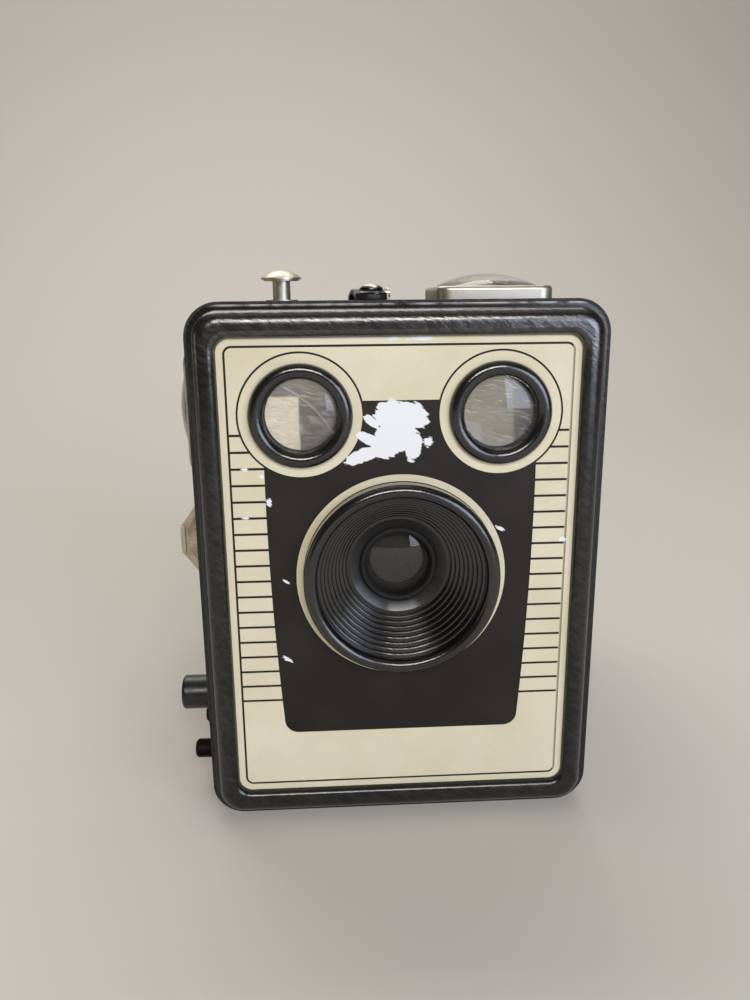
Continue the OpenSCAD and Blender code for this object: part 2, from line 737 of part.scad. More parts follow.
module plunger() color("#dad7d0") on_top(plunger_x, plunger_d) rotate_extrude() {
  rim_h = plunger_h - 1.85;
  shelf = shelf_z + shelf_t - body_h;
  intersection() {
    polygon([[0, rim_h], [plunger_r, rim_h], [plunger_r, plunger_h], [0, plunger_h]]);
    crown_r = (pow(plunger_r, 2) + pow(1.55, 2)) / (2 * 1.55);
    translate([0, plunger_h - crown_r]) circle(crown_r);
  }
  translate([0, rim_h - 0.3]) square([plunger_r - 0.5, 0.5]);
  translate([0, shelf]) square([stem_r, rim_h - shelf]);
}

module plunger_guide() color("#cfcbc2") on_top(plunger_x, plunger_d) difference() {
  union() {
    cylinder(r = stem_r + 1.5, h = 0.2);
    translate([0, 0, -wall_t - 1.5]) cylinder(r = stem_r + bush_wall, h = wall_t + 1.6);
    translate([0, 0, -wall_t - 0.7]) cylinder(r = stem_r + 1.8, h = 0.7);
  }
  translate([0, 0, -10]) cylinder(r = stem_r + run, h = 20);
}

module release_slide() color("#a09c93") {
  pin_z = pivot_z + drive_r * sin(blade_half_turn);
  notch_half = drive_pin_r + slip;
  foot = pin_z - notch_half - 1.6;
  sheet(slide_d, slide_d + slide_t) difference() {
    union() {
      translate([slide_left, foot]) square([slide_right - slide_left, shelf_z + shelf_t - foot]);
      translate([plunger_x - stem_r, shelf_z]) square([slide_right - plunger_x + stem_r, shelf_t]);
    }
    notch_left = pivot_x - drive_r - drive_pin_r - slip;
    translate([notch_left, pin_z - notch_half]) square([20, 2 * notch_half]);
  }
  translate([plunger_x - stem_r, plate_y + plunger_d - stem_r, shelf_z])
    cube([2 * stem_r, slide_d - plunger_d + stem_r + eps, shelf_t]);
  // Lower lug of the return spring
  translate([slide_right - eps, plate_y + slide_d, spring_low - lug_t])
    cube([spring_x + 1.8 - slide_right, spring_d + spring_r - slide_d + 0.5, lug_t]);
}

// Points along the spring wire: straight lead, coils, straight lead
spring_sides = 6;
spring_rings = 8;
lead = 2 * spring_wire_r + 0.4;
spring_path = concat(
  [[spring_r, 0, spring_low]],
  [for (i = [0 : spring_turns * spring_rings])
    let (a = 360 * i / spring_rings, t = i / (spring_turns * spring_rings))
    [spring_r * cos(a), spring_r * sin(a), spring_low + lead + t * (spring_high - spring_low - 2 * lead)]],
  [[spring_r, 0, spring_high]]);
coil_pitch = (spring_high - spring_low - 2 * lead) / spring_turns;
echo(least_gap_between_coils = coil_pitch - 2 * spring_wire_r);

// A tube swept along points, its rings turned to follow the path
module swept_tube(path, r, sides) {
  n = len(path);
  function tangent(i) = let (a = path[max(i - 1, 0)], b = path[min(i + 1, n - 1)]) (b - a) / norm(b - a);
  rings = [for (i = [0 : n - 1])
    let (t = (i == 0 || i == n - 1) ? [0, 0, 1] : tangent(i),
      flat = norm([path[i][0], path[i][1]]),
      u = [path[i][0] / flat, path[i][1] / flat, 0],
      v0 = cross(t, u), v = v0 / norm(v0), w = cross(v, t))
    for (k = [0 : sides - 1]) path[i] + r * (cos(360 * k / sides) * w + sin(360 * k / sides) * v)];
  walls = [for (i = [0 : n - 2], k = [0 : sides - 1], half = [0, 1])
    let (a = i * sides + k, b = i * sides + (k + 1) % sides)
    half == 0 ? [a, a + sides, b] : [b, a + sides, b + sides]];
  caps = [for (k = [1 : sides - 2]) each [[0, k, k + 1],
    [(n - 1) * sides, (n - 1) * sides + k + 1, (n - 1) * sides + k]]];
  polyhedron(points = rings, faces = concat(walls, caps));
}

module return_spring() color("#b9b5ab") translate([spring_x, plate_y + spring_d, 0])
  swept_tube(spring_path, spring_wire_r, spring_sides);

// Side controls

module time_slide() color("#b9ab93") {
  wall_x = -body_w / 2;
  tip_x = wall_x - time_out;
  root_x = wall_x - 0.4;
  sheet(time_d, time_d + time_t) {
    polygon([[root_x, time_z - time_base / 2], [root_x, time_z + time_base / 2],
      [tip_x, time_z + time_tip / 2], [tip_x, time_z - time_tip / 2]]);
    translate([root_x - eps, time_z - time_neck / 2]) square([18, time_neck]);
  }
  // Turned lip at the tip and pressed grip ribs that fan out to the base
  translate([tip_x, plate_y + time_d - 0.8, time_z - time_tip / 2]) cube([0.9, 0.9, time_tip]);
  run_x = time_out - 2.2;
  for (i = [-4 : 4]) {
    rise = i * (time_base / 10.5 - time_tip / 11);
    translate([tip_x + 1.6, plate_y + time_d, time_z + i * time_tip / 11])
      rotate([0, atan2(run_x, rise), 0]) cylinder(r = 0.22, h = norm([run_x, rise]));
  }
}

module close_up_plate() color("#9c988f") sheet(close_d, close_d + close_t) difference() {
  union() {
    translate([-body_w / 2 + 16.25, close_z - 4]) square([body_w / 2 - 16.25 + close_travel + 4, 8]);
    translate([close_travel - 4, close_z]) square([8, mid_z - close_z]);
    translate([close_travel, mid_z]) circle(close_lens_r + 2);
  }
  translate([close_travel, mid_z]) circle(close_lens_r + run);
}

module close_up_lens() color("#8d9aa2") optical(close_travel, mid_z, close_axis_d) rotate_extrude()
  intersection() {
    translate([0, 24 - 1]) circle(24, $fn = 360);
    translate([0, 1 - 24]) circle(24, $fn = 360);
    translate([0, -2]) square([close_lens_r, 4]);
  }

module close_up_rod() color("#b8b4aa") on_left(close_axis_d, close_z)
  translate([0, 0, -16.25]) cylinder(r = close_rod_r, h = 16.25 + 2.6);

module close_up_knob() color("#161514") on_left(close_axis_d, close_z) difference() {
  rotate_extrude() {
    flat_h = close_out - 0.8;
    translate([0, 1.1]) square([close_knob_r, flat_h - 1.1]);
    translate([0, flat_h]) square([close_knob_r - 0.8, 0.8]);
    translate([close_knob_r - 0.8, flat_h]) circle(0.8);
  }
  cylinder(r = close_rod_r, h = 2.6);
}

module close_up_bush() color("#a8a296") on_left(close_axis_d, close_z) difference() {
  union() {
    translate([0, 0, -wall_t - 2.2]) cylinder(r = close_rod_r + bush_wall + run, h = wall_t + 2.3);
    cylinder(r = close_rod_r + 2.6, h = 0.7);
  }
  translate([0, 0, -10]) cylinder(r = close_rod_r + run, h = 20);
}

function flash_shank_r() = flash_r - 0.6;
function flash_barrel_r() = flash_shank_r() + 1.2;

module flash_pins() color("#57524a") for (i = [0, 1]) on_left(flash_d + i * flash_pitch, flash_z)
  rotate_extrude() polygon([[0, -5.25], [flash_shank_r(), -5.25], [flash_shank_r(), 0.5], [flash_r, 0.5],
    [flash_r, flash_out - 0.5], [flash_r - 0.5, flash_out], [0, flash_out]]);

module flash_bushes() color("#1b1a19") for (i = [0, 1]) on_left(flash_d + i * flash_pitch, flash_z)
  difference() {
    union() {
      cylinder(r = flash_barrel_r() + 0.8, h = 0.5);
      translate([0, 0, -wall_t - 1.4]) cylinder(r = flash_barrel_r(), h = wall_t + 1.5);
    }
    translate([0, 0, -10]) cylinder(r = flash_shank_r() + run, h = 20);
  }

module contact_strips() color("#b58d4c") for (i = [0, 1])
  translate([-body_w / 2 + 5.25, plate_y + flash_d + i * flash_pitch - 1.5, flash_z - 2.5])
    cube([0.5, 3, 32 - 9 * i]);

// Film carrier and winder

module frustum(d0, w0, h0, d1, w1, h1) {
  function ring(d, w, h) = [for (s = [[-1, -1], [1, -1], [1, 1], [-1, 1]])
    [s[0] * w / 2, plate_y + d, mid_z + s[1] * h / 2]];
  polyhedron(points = concat(ring(d0, w0, h0), ring(d1, w1, h1)),
    faces = concat([[3, 2, 1, 0], [4, 5, 6, 7]],
      [for (k = [0 : 3]) [k, (k + 1) % 4, (k + 1) % 4 + 4, k + 4]]));
}

module film_cone() color("#1c1b1a") difference() {
  c = 2 * cone_half;
  grow_w = (gate_w - c) / (gate_d - cone_front);
  grow_h = (gate_h - c) / (gate_d - cone_front);
  frustum(cone_front, c + 2 * cone_t, c + 2 * cone_t, gate_d, gate_w + 2 * cone_t, gate_h + 2 * cone_t);
  frustum(cone_front - 1, c - grow_w, c - grow_h, gate_d + 1, gate_w + grow_w, gate_h + grow_h);
}

module film_gate() color("#2b2927") sheet(gate_d, gate_d + gate_t) translate([0, mid_z]) difference() {
  square([2 * side_in, 2 * (roller_up - roller_r - 0.6)], center = true);
  square([gate_w, gate_h], center = true);
}

module carrier_side(s) color("#33302d") difference() {
  low = wall_t + slip;
  side_sheet(s > 0 ? side_in : -side_in - side_t, s > 0 ? side_in + side_t : -side_in) difference() {
    translate([plate_y + side_front, low]) square([gate_d + gate_t - side_front, body_h - 2 * low]);
    translate([plate_y + side_front, mid_z]) circle(18);
    translate([plate_y + gate_d - 14, mid_z]) circle(7);
  }
  across(spool_d, spool_top_z, -body_w)
    cylinder(r = s > 0 ? spool_pin_r + run : key_h / 2 + 0.5, h = 2 * body_w);
  across(spool_d, spool_inset, -body_w) cylinder(r = spool_pin_r + run, h = 2 * body_w);
  for (v = [-1, 1]) across(roller_d, mid_z + v * roller_up, -body_w)
    cylinder(r = spool_pin_r + run, h = 2 * body_w);
}

module guide_roller(v) color("#b4b0a7") across(roller_d, mid_z + v * roller_up) {
  l = 2 * side_in - 2 * slip;
  translate([0, 0, -l / 2]) cylinder(r = roller_r, h = l);
  translate([0, 0, -side_in - side_t - 0.6]) cylinder(r = spool_pin_r, h = 2 * (side_in + side_t + 0.6));
}

module spool_pivot(s, z) across(spool_d, z) mirror([0, 0, s > 0 ? 0 : 1]) {
  translate([0, 0, side_in - 3.4]) cylinder(r = spool_pin_r, h = side_t + 3.4);
  translate([0, 0, side_in + side_t]) cylinder(r = 3, h = 1);
}

module spool_pivots() color("#a9a59b") {
  spool_pivot(1, spool_top_z);
  spool_pivot(1, spool_inset);
  spool_pivot(-1, spool_inset);
}

module take_up_spool() color("#22201f") across(spool_d, spool_top_z) difference() {
  half = spool_l / 2;
  union() {
    translate([0, 0, -half]) cylinder(r = spool_core_r, h = spool_l);
    for (z = [-half, half - 1.2]) translate([0, 0, z]) cylinder(r = spool_flange_r, h = 1.2);
  }
  translate([0, 0, half - 4]) cylinder(r = spool_pin_r + 2 * run, h = 5);
  translate([-key_w / 2 - 0.25, -key_h / 2 - 0.25, -half - 1]) cube([key_w + 0.5, key_h + 0.5, 7.5]);
}

module winding_shaft() color("#b8b4aa") across(spool_d, spool_top_z) {
  out_x = -body_w / 2 - sleeve_end - 0.25;
  end_x = -spool_l / 2 - slip;
  translate([0, 0, out_x]) cylinder(r = shaft_r, h = end_x - out_x);
  translate([-key_w / 2, -key_h / 2, end_x - eps]) cube([key_w, key_h, 5.4]);
}

module winding_sleeve() color("#9b978d") on_left(spool_d, spool_top_z)
  translate([0, 0, -(body_w / 2 - side_in - side_t - 1)])
    tube(sleeve_r, shaft_r + run, body_w / 2 - side_in - side_t - 1 + sleeve_end);

module winding_bush() color("#aaa69c") on_left(spool_d, spool_top_z) difference() {
  union() {
    translate([0, 0, -wall_t - 2.2]) cylinder(r = winding_bush_r, h = wall_t + 2.6);
    translate([0, 0, -wall_t - 1]) cylinder(r = winding_bush_r + 1.9, h = 1);
  }
  translate([0, 0, -10]) cylinder(r = sleeve_r + run, h = 20);
}

module winding_knob() color("#171615") on_left(spool_d, spool_top_z) difference() {
  rotate_extrude() {
    edge = 1.2;
    translate([0, 0.8]) square([knob_r, knob_out - edge - 0.8]);
    translate([0, knob_out - edge]) square([knob_r - edge, edge]);
    translate([knob_r - edge, knob_out - edge]) circle(edge);
  }
  cylinder(r = knob_r - 1.6, h = sleeve_end + 0.25);
  translate([0, 0, knob_out - 0.6]) cylinder(r = knob_r - 3.5, h = 2);
  for (i = [0 : knob_flutes - 1]) rotate(360 * i / knob_flutes) translate([knob_r + 0.25, 0, 0])
    cylinder(r = 0.75, h = knob_out + 1);
}

// Back

module back_door() color("#24211f") difference() {
  side_half = inner_w / 2 - 0.35;
  union() {
    intersection() {
      translate([0, door_y + door_t, mid_z]) rotate([90, 0, 0]) linear_extrude(door_t)
        rounded(body_w, body_h, corner_r);
      union() {
        translate([-body_w, door_y - 1, hinge_z]) cube([2 * body_w, door_t + 2, body_h]);
        translate([-body_w, hinge_y, hinge_z]) rotate([0, 90, 0]) cylinder(r = door_t / 2, h = 2 * body_w);
      }
    }
    // Light trap that enters the case on three sides
    for (x = [-side_half, side_half - rim_t]) translate([x, door_y - rim_in, hinge_z + 11])
      cube([rim_t, rim_in + 0.5, inner_h + wall_t - hinge_z - 11 - corner_r]);
    translate([-inner_w / 2 + corner_r, door_y - rim_in, body_h - wall_t - 0.4 - rim_t])
      cube([inner_w - 2 * corner_r, rim_in + 0.5, rim_t]);
  }
  // Hollow of the pressed pan
  low = door_t + 1.5;
  high = body_h - wall_t - 0.4 - rim_t;
  translate([0, door_y + door_t - door_back, (low + high) / 2]) rotate([90, 0, 0])
    linear_extrude(door_t) rounded(2 * (side_half - rim_t), high - low, 4);
  // Film window
  translate([0, door_y, window_z]) rotate([-90, 0, 0]) cylinder(r = window_r, h = 2 * door_t);
  // Hinge: bore and room for the case's knuckles
  translate([-hinge_l / 2 - slip, hinge_y, hinge_z]) rotate([0, 90, 0])
    cylinder(r = hinge_pin_r + run, h = hinge_l + 2 * slip);
  for (s = [-1, 1]) translate([s * knuckle_x - knuckle_l / 2 - slip, hinge_y, hinge_z]) rotate([0, 90, 0])
    cylinder(r = door_t / 2 + slip, h = knuckle_l + 2 * slip);
}

module back_leather() color("#1d1a18") translate([0, door_y + door_t + leather_t, 0]) rotate([90, 0, 0])
  linear_extrude(leather_t) difference() {
    low = door_t + 0.5;
    translate([0, (low + body_h - 1.4) / 2]) rounded(body_w - 2.8, body_h - 1.4 - low, corner_r - 1.4);
    translate([0, window_z]) circle(window_r);
  }

module hinge_leaf() color("#5a5751") {
  leaf_z = wall_t;
  leaf_t = 0.9;
  difference() {
    union() {
      translate([-knuckle_x - knuckle_l / 2, rear_y - 5, leaf_z])
        cube([2 * knuckle_x + knuckle_l, 4, leaf_t]);
      for (s = [-1, 1]) translate([s * knuckle_x - knuckle_l / 2, 0, 0]) {
        translate([0, rear_y - 5, leaf_z]) cube([knuckle_l, hinge_y - rear_y + 5, leaf_t]);
        translate([0, hinge_y, hinge_z]) rotate([0, 90, 0]) cylinder(r = door_t / 2 - 0.2, h = knuckle_l);
      }
    }
    translate([-hinge_l / 2, hinge_y, hinge_z]) rotate([0, 90, 0])
      cylinder(r = hinge_pin_r + run, h = hinge_l);
  }
}

module hinge_pin() color("#b8b4aa") translate([-hinge_l / 2, hinge_y, hinge_z]) rotate([0, 90, 0])
  cylinder(r = hinge_pin_r, h = hinge_l);

latch_z = body_h + latch_axis_h;

module latch_leaf() color("#c9c5bb") difference() {
  end_y = door_y + door_t - 0.4;
  union() {
    translate([-latch_w / 2, latch_y, latch_z]) rotate([0, 90, 0])
      cylinder(r = latch_barrel_r, h = latch_w);
    translate([-latch_w / 2, latch_y, body_h + slip]) cube([latch_w, end_y - latch_y, latch_sheet]);
    translate([-latch_w / 2, end_y - latch_sheet, body_h + slip]) cube([latch_w, latch_sheet, 3.2]);
  }
  translate([-latch_w, latch_y, latch_z]) rotate([0, 90, 0])
    cylinder(r = latch_pin_r + run, h = 2 * latch_w);
  notch = latch_stud_r + slip;
  translate([0, hinge_y, body_h - 1]) cylinder(r = notch, h = 8);
  translate([-notch, hinge_y, body_h - 1]) cube([2 * notch, 10, 8]);
}

module latch_bracket() color("#bdb9ae") {
  ear_x = latch_w / 2 + slip;
  difference() {
    union() {
      translate([-ear_x - 1, latch_y - latch_barrel_r - slip - 6, body_h]) cube([2 * ear_x + 2, 6, 0.8]);
      for (x = [-ear_x - 1, ear_x]) side_sheet(x, x + 1) {
        translate([latch_y - latch_barrel_r - slip - 3, body_h]) square([latch_barrel_r + slip + 3, 0.8]);
        translate([latch_y, latch_z]) circle(latch_barrel_r);
        translate([latch_y - latch_barrel_r, body_h]) square([2 * latch_barrel_r, latch_axis_h]);
      }
    }
    translate([-latch_w, latch_y, latch_z]) rotate([0, 90, 0])
      cylinder(r = latch_pin_r + run, h = 2 * latch_w);
  }
  // Pin riveted through both ears
  translate([-ear_x - 1.5, latch_y, latch_z]) rotate([0, 90, 0])
    cylinder(r = latch_pin_r, h = 2 * ear_x + 3);
  for (x = [-ear_x - 1.5, ear_x + 1]) translate([x, latch_y, latch_z]) rotate([0, 90, 0])
    cylinder(r = 1.2, h = 0.5);
}

module latch_stud() color("#c9c5bb") translate([0, hinge_y, body_h]) rotate_extrude()
  polygon([[0, 0], [latch_stud_r, 0], [latch_stud_r, 2.2], [latch_stud_r - 0.4, 2.6], [0, 2.6]]);

module red_window() color("#7a1512") translate([0, door_y + door_t - door_back - 0.8, window_z])
  rotate([-90, 0, 0]) cylinder(r = window_r + 1.2, h = 0.8);

frame_y = door_y + door_t + leather_t;
slide_half = window_r + 1.6;
rail_half = slide_half + slip;

module window_frame() color("#2a2725") {
  long = 2 * slide_half + window_travel + 2;
  translate([0, frame_y + frame_base, window_z]) rotate([90, 0, 0])
    linear_extrude(frame_base) difference() {
    translate([window_travel / 2, 0]) square([long, 2 * rail_half + 4], center = true);
    circle(window_r);
  }
  for (s = [-1, 1]) translate([window_travel / 2 - long / 2, frame_y, window_z + s * (rail_half + 1) - 1]) {
    cube([long, frame_base + cover_sheet + 2 * slip, 2]);
    translate([0, frame_base + cover_sheet + 2 * slip, s > 0 ? -0.8 : 0]) cube([long, 0.6, 2.8]);
  }
  for (x = [window_travel / 2 - long / 2, window_travel / 2 + long / 2 - 0.7])
    translate([x, frame_y, window_z - rail_half])
      cube([0.7, frame_base + cover_sheet + slip, 2 * rail_half]);
}

module window_slide() color("#3a3632") {
  slide_y = frame_y + frame_base + slip;
  translate([-slide_half, slide_y, window_z - slide_half])
    cube([2 * slide_half, cover_sheet, 2 * slide_half]);
  translate([0, slide_y + cover_sheet - eps, window_z]) rotate([-90, 0, 0]) rotate_extrude()
    polygon([[0, 0], [2.6, 0], [2.2, 1.2], [1.6, 1.5], [0, 1.5]]);
}

// Strap, its studs and the tripod bushes

function strap_shank_r() = 1.2;
strap_mid_d = plunger_d + strap_span / 2;
collar_h = 1.3;
collar_r = 3.4;

module strap() color("#1a1817") on_top(strap_x, strap_mid_d) intersection() {
  half = strap_span / 2;
  flat = half - strap_w / 2 - 1.5;
  arch_r = (pow(flat, 2) + pow(strap_rise, 2)) / (2 * strap_rise);
  side_sheet(-strap_w, strap_w) {
    for (s = [-1, 1]) translate([s > 0 ? flat - eps : -half - strap_w, 0])
      square([half + strap_w - flat + eps, strap_t]);
    intersection() {
      difference() {
        translate([0, strap_rise - arch_r]) circle(arch_r + strap_t, $fn = 256);
        translate([0, strap_rise - arch_r]) circle(arch_r, $fn = 256);
      }
      translate([-flat, 0]) square([2 * flat, strap_rise + strap_t + 1]);
    }
  }
  difference() {
    translate([0, 0, -1]) linear_extrude(20) {
      square([strap_w, strap_span], center = true);
      for (s = [-1, 1]) translate([0, s * half]) circle(strap_w / 2);
    }
    for (s = [-1, 1]) translate([0, s * half, -2]) cylinder(r = strap_shank_r() + run, h = 30);
  }
}

module strap_collars() color("#161514") for (s = [-1, 1])
  on_top(strap_x, strap_mid_d + s * strap_span / 2) translate([0, 0, strap_t]) rotate_extrude()
    difference() {
      bore = strap_shank_r() + run;
      translate([bore, 0]) square([collar_r - bore, collar_h]);
      translate([collar_r + 0.1, collar_h]) circle(collar_h - 0.2);
    }

module strap_studs() color("#d5d1c8") for (s = [-1, 1])
  on_top(strap_x, strap_mid_d + s * strap_span / 2) {
    translate([0, 0, -wall_t - stud_head_t]) cylinder(r = 2.2, h = stud_head_t);
    translate([0, 0, -wall_t - 0.4]) cylinder(r = strap_shank_r(), h = wall_t + 0.4 + strap_t + collar_h);
    intersection() {
      translate([0, 0, strap_t + collar_h]) cylinder(r = 2, h = 2);
      translate([0, 0, strap_t + collar_h + 0.8 - 4.2]) sphere(4.2);
    }
  }

module tripod_bush() difference() {
  union() {
    translate([0, 0, -tripod_depth - 1.5]) cylinder(r = tripod_boss_r, h = tripod_depth + 1.4);
    translate([0, 0, -wall_t - 1]) cylinder(r = tripod_boss_r + 2, h = 1);
  }
  translate([0, 0, -tripod_depth - 0.1]) cylinder(r = tripod_r, h = tripod_depth + 1);
}

module tripod_bushes() color("#b1ada3") {
  translate([0, plate_y + tripod_d, 0]) rotate([180, 0, 0]) tripod_bush();
  on_right(tripod_d, mid_z) tripod_bush();
}

case_shell();
leatherette_wrap();
front_frame();
faceplate();
lens_hood();
lens();
lens_ring();
finder_bezels();
finder_objectives();
finder_housing(false);  // finder_housing_side
finder_housing(true);  // finder_housing_top
finder_mirrors();
finder_frame(false);  // finder_frame_side
finder_frame(true);  // finder_frame_top
finder_eye(false);  // finder_eye_side
finder_eye(true);  // finder_eye_top
mechanism_plate();
spacer_posts();
mechanism_cover();
blade_pivot();
shutter_blade();
plunger();
plunger_guide();
release_slide();
return_spring();
time_slide();
close_up_plate();
close_up_rod();
close_up_knob();
close_up_lens();
close_up_bush();
flash_pins();
flash_bushes();
contact_strips();
film_cone();
film_gate();
carrier_side(-1);  // carrier_side_left
carrier_side(1);  // carrier_side_right
guide_roller(1);  // guide_roller_top
guide_roller(-1);  // guide_roller_bottom
spool_pivots();
take_up_spool();
winding_knob();
winding_shaft();
winding_sleeve();
winding_bush();
back_door();
back_leather();
hinge_leaf();
hinge_pin();
latch_leaf();
latch_bracket();
latch_stud();
red_window();
window_frame();
window_slide();
strap();
strap_collars();
strap_studs();
tripod_bushes();
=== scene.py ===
# %% [markdown]
# # A box camera for roll film
# The solid parts arrive as a fixed frame, already in metres and in place. This lesson gives them their
# finishes, models the strap and the wound spring again, and sets up a small studio.

# %% Load the frame
import math

import bpy
from mathutils import Matrix, Vector


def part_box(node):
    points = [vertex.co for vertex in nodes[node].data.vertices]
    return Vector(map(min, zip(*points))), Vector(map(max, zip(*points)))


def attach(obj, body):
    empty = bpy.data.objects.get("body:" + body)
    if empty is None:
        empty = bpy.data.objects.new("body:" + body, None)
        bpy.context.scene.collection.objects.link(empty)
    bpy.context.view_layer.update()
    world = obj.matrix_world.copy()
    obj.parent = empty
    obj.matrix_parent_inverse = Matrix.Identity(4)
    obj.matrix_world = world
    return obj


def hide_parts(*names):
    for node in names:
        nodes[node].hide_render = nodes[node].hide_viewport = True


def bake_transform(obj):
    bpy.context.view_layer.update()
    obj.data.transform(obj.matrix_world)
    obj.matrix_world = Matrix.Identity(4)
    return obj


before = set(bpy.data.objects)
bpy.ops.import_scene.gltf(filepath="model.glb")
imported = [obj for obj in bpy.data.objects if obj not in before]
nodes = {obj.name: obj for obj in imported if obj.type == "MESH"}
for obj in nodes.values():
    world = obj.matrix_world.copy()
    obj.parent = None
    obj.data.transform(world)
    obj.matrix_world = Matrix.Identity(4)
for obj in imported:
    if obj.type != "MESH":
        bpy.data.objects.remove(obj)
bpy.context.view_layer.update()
MM = 0.001
PLATE_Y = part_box("faceplate")[0].y
LENS_Z = sum((corner.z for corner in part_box("lens")), 0.0) / 2
print("frame:", len(nodes), "nodes, plate face at", round(PLATE_Y / MM, 2), "mm")

# %% [markdown]
# ## The camera
# The photograph was taken from close by, a thumb's breadth to the left of the lens and a little above
# it, looking down by about 14 degrees. A short lens so near makes the far edges shrink, and that
# perspective is half of the likeness, so the place, the aim and the lens all follow it.

# %% Camera
SENSOR_MM, FOCAL_MM = 36, 28.33
ACROSS_MM, BEFORE_PLATE_MM, ABOVE_LENS_MM = -13.5, 155.5, 56.3
NEAREST_MM = 5
forward = Vector((0.0506, 0.9678, -0.2467)).normalized()
right = Vector((0.9985, -0.0547, -0.0098))
right = (right - forward * right.dot(forward)).normalized()
up = right.cross(forward)
eye = Vector((ACROSS_MM * MM, PLATE_Y - BEFORE_PLATE_MM * MM, LENS_Z + ABOVE_LENS_MM * MM))

lens_data = bpy.data.cameras.new("photo_camera")
lens_data.sensor_fit = "VERTICAL"
lens_data.sensor_height = SENSOR_MM
lens_data.lens = FOCAL_MM
lens_data.clip_start = NEAREST_MM * MM
viewer = bpy.data.objects.new("photo_camera", lens_data)
bpy.context.scene.collection.objects.link(viewer)
viewer.matrix_world = Matrix((
    (right.x, up.x, -forward.x, eye.x),
    (right.y, up.y, -forward.y, eye.y),
    (right.z, up.z, -forward.z, eye.z),
    (0, 0, 0, 1)))
bpy.context.scene.camera = viewer
bpy.context.scene.view_settings.view_transform = "Standard"
print("camera at", [round(c / MM, 1) for c in eye], "mm")

# %% [markdown]
# ## A few small helpers
# Colours are written as sRGB hex, as a paint chart gives them, and the shader wants linear values. One
# helper adds a shader node, sets it up and links it, so each finish reads as a recipe. Another starts a
# finish with Object coordinates in millimetres, because then a pattern's scale is simply one over its
# real size.

# %% Colour and node helpers
COLOUR_A, COLOUR_B, COLOUR_OUT = 6, 7, 2  # the Mix node's sockets for colours


def linear(hex_colour):
    channels = [int(hex_colour[i:i + 2], 16) / 255 for i in (1, 3, 5)]
    return tuple(c / 12.92 if c <= 0.04045 else ((c + 0.055) / 1.055) ** 2.4 for c in channels) + (1.0,)


def add(material, kind, settings=None, links=None):
    node = material.node_tree.nodes.new(kind)
    for key, value in (settings or {}).items():
        if isinstance(key, str) and key in node.bl_rna.properties:
            setattr(node, key, value)
        else:
            node.inputs[key].default_value = value
    for key, source in (links or {}).items():
        material.node_tree.links.new(source, node.inputs[key])
    return node


def shader_of(material):
    return material.node_tree.nodes["Principled BSDF"]


def join(material, source, socket):
    material.node_tree.links.new(source, shader_of(material).inputs[socket])


def feed_of(material, socket):
    """What is linked to one of the shader's sockets so far, to build on it."""
    return shader_of(material).inputs[socket].links[0].from_socket


def new_finish(name, **settings):
    """A material with one Principled shader, and Object coordinates counted in millimetres."""
    material = bpy.data.materials.new(name)
    material.use_nodes = True
    for key, value in settings.items():
        shader_of(material).inputs[key.replace("_", " ")].default_value = value
    spot = add(material, "ShaderNodeTexCoord")
    place = add(material, "ShaderNodeVectorMath", {"operation": "SCALE", "Scale": 1 / MM},
                {0: spot.outputs["Object"]})
    return material, place.outputs[0]


print("linear mid grey:", [round(c, 3) for c in linear("#808080")[:3]])

# %% [markdown]
# ## The studio
# A plain pale floor sweeps up into a backdrop. By hand one would extrude the far edge of a plane upwards
# and round the fold, and so does this cell.

# %% Floor and backdrop
FLOOR, FLOOR_Y, WALL, SWEEP_R, WIDER = 5, -1.5, 2.4, 0.5, 4


def select_edges(mesh, wanted):
    """Leave only the wanted edges and their ends selected, ready for edit mode."""
    for group in (mesh.vertices, mesh.edges, mesh.polygons):
        for part in group:
            part.select = False
    for edge in mesh.edges:
        if wanted(edge):
            edge.select = True
            for i in edge.vertices:
                mesh.vertices[i].select = True


bpy.ops.object.select_all(action="DESELECT")
bpy.ops.mesh.primitive_plane_add(size=FLOOR, location=(0, FLOOR_Y, 0))
sweep = bpy.context.object
sweep.name = "studio_sweep"
corners = sweep.data.vertices
select_edges(sweep.data, lambda edge: all(corners[i].co.y > 0 for i in edge.vertices))
bpy.ops.object.mode_set(mode="EDIT")
bpy.ops.mesh.select_mode(type="EDGE")
bpy.ops.mesh.extrude_region_move(TRANSFORM_OT_translate={"value": (0, 0, WALL)})
bpy.ops.mesh.select_all(action="SELECT")
bpy.ops.transform.resize(value=(WIDER, 1, 1), center_override=sweep.location)
bpy.ops.object.mode_set(mode="OBJECT")
fold = sweep.modifiers.new("fold", "BEVEL")
fold.width = SWEEP_R
fold.segments = 16
fold.limit_method = "ANGLE"
bpy.ops.object.modifier_apply(modifier="fold")
bpy.ops.object.shade_smooth()
bpy.ops.object.transform_apply(location=True)
# Uncoated backdrop paper: matt, so it shows shadows and no highlight of its own
paper, _ = new_finish("backdrop_paper", Base_Color=linear("#d0cdc7"), Roughness=0.9)
sweep.data.materials.append(paper)
print("sweep:", len(sweep.data.polygons), "faces")

# %% [markdown]
# A cool window panel stands low in front on the right, because there it draws bluish lines along the
# round black rims and a patch of light in the lens. The strip in front and above is the main light:
# round pieces turn it into arcs, and the rolled frame's top bar into a long band. A weak panel overhead
# is what the top finder shows, and a card standing at the left is the bright half of the side finder. A
# fill from behind serves the views of the back, and one lamp lights the backdrop.

# %% Lamps
world = bpy.data.worlds.new("studio")
world.use_nodes = True
room = world.node_tree.nodes["Background"]
room.inputs["Color"].default_value = linear("#e6d9c8")
room.inputs["Strength"].default_value = 0.16
bpy.context.scene.world = world

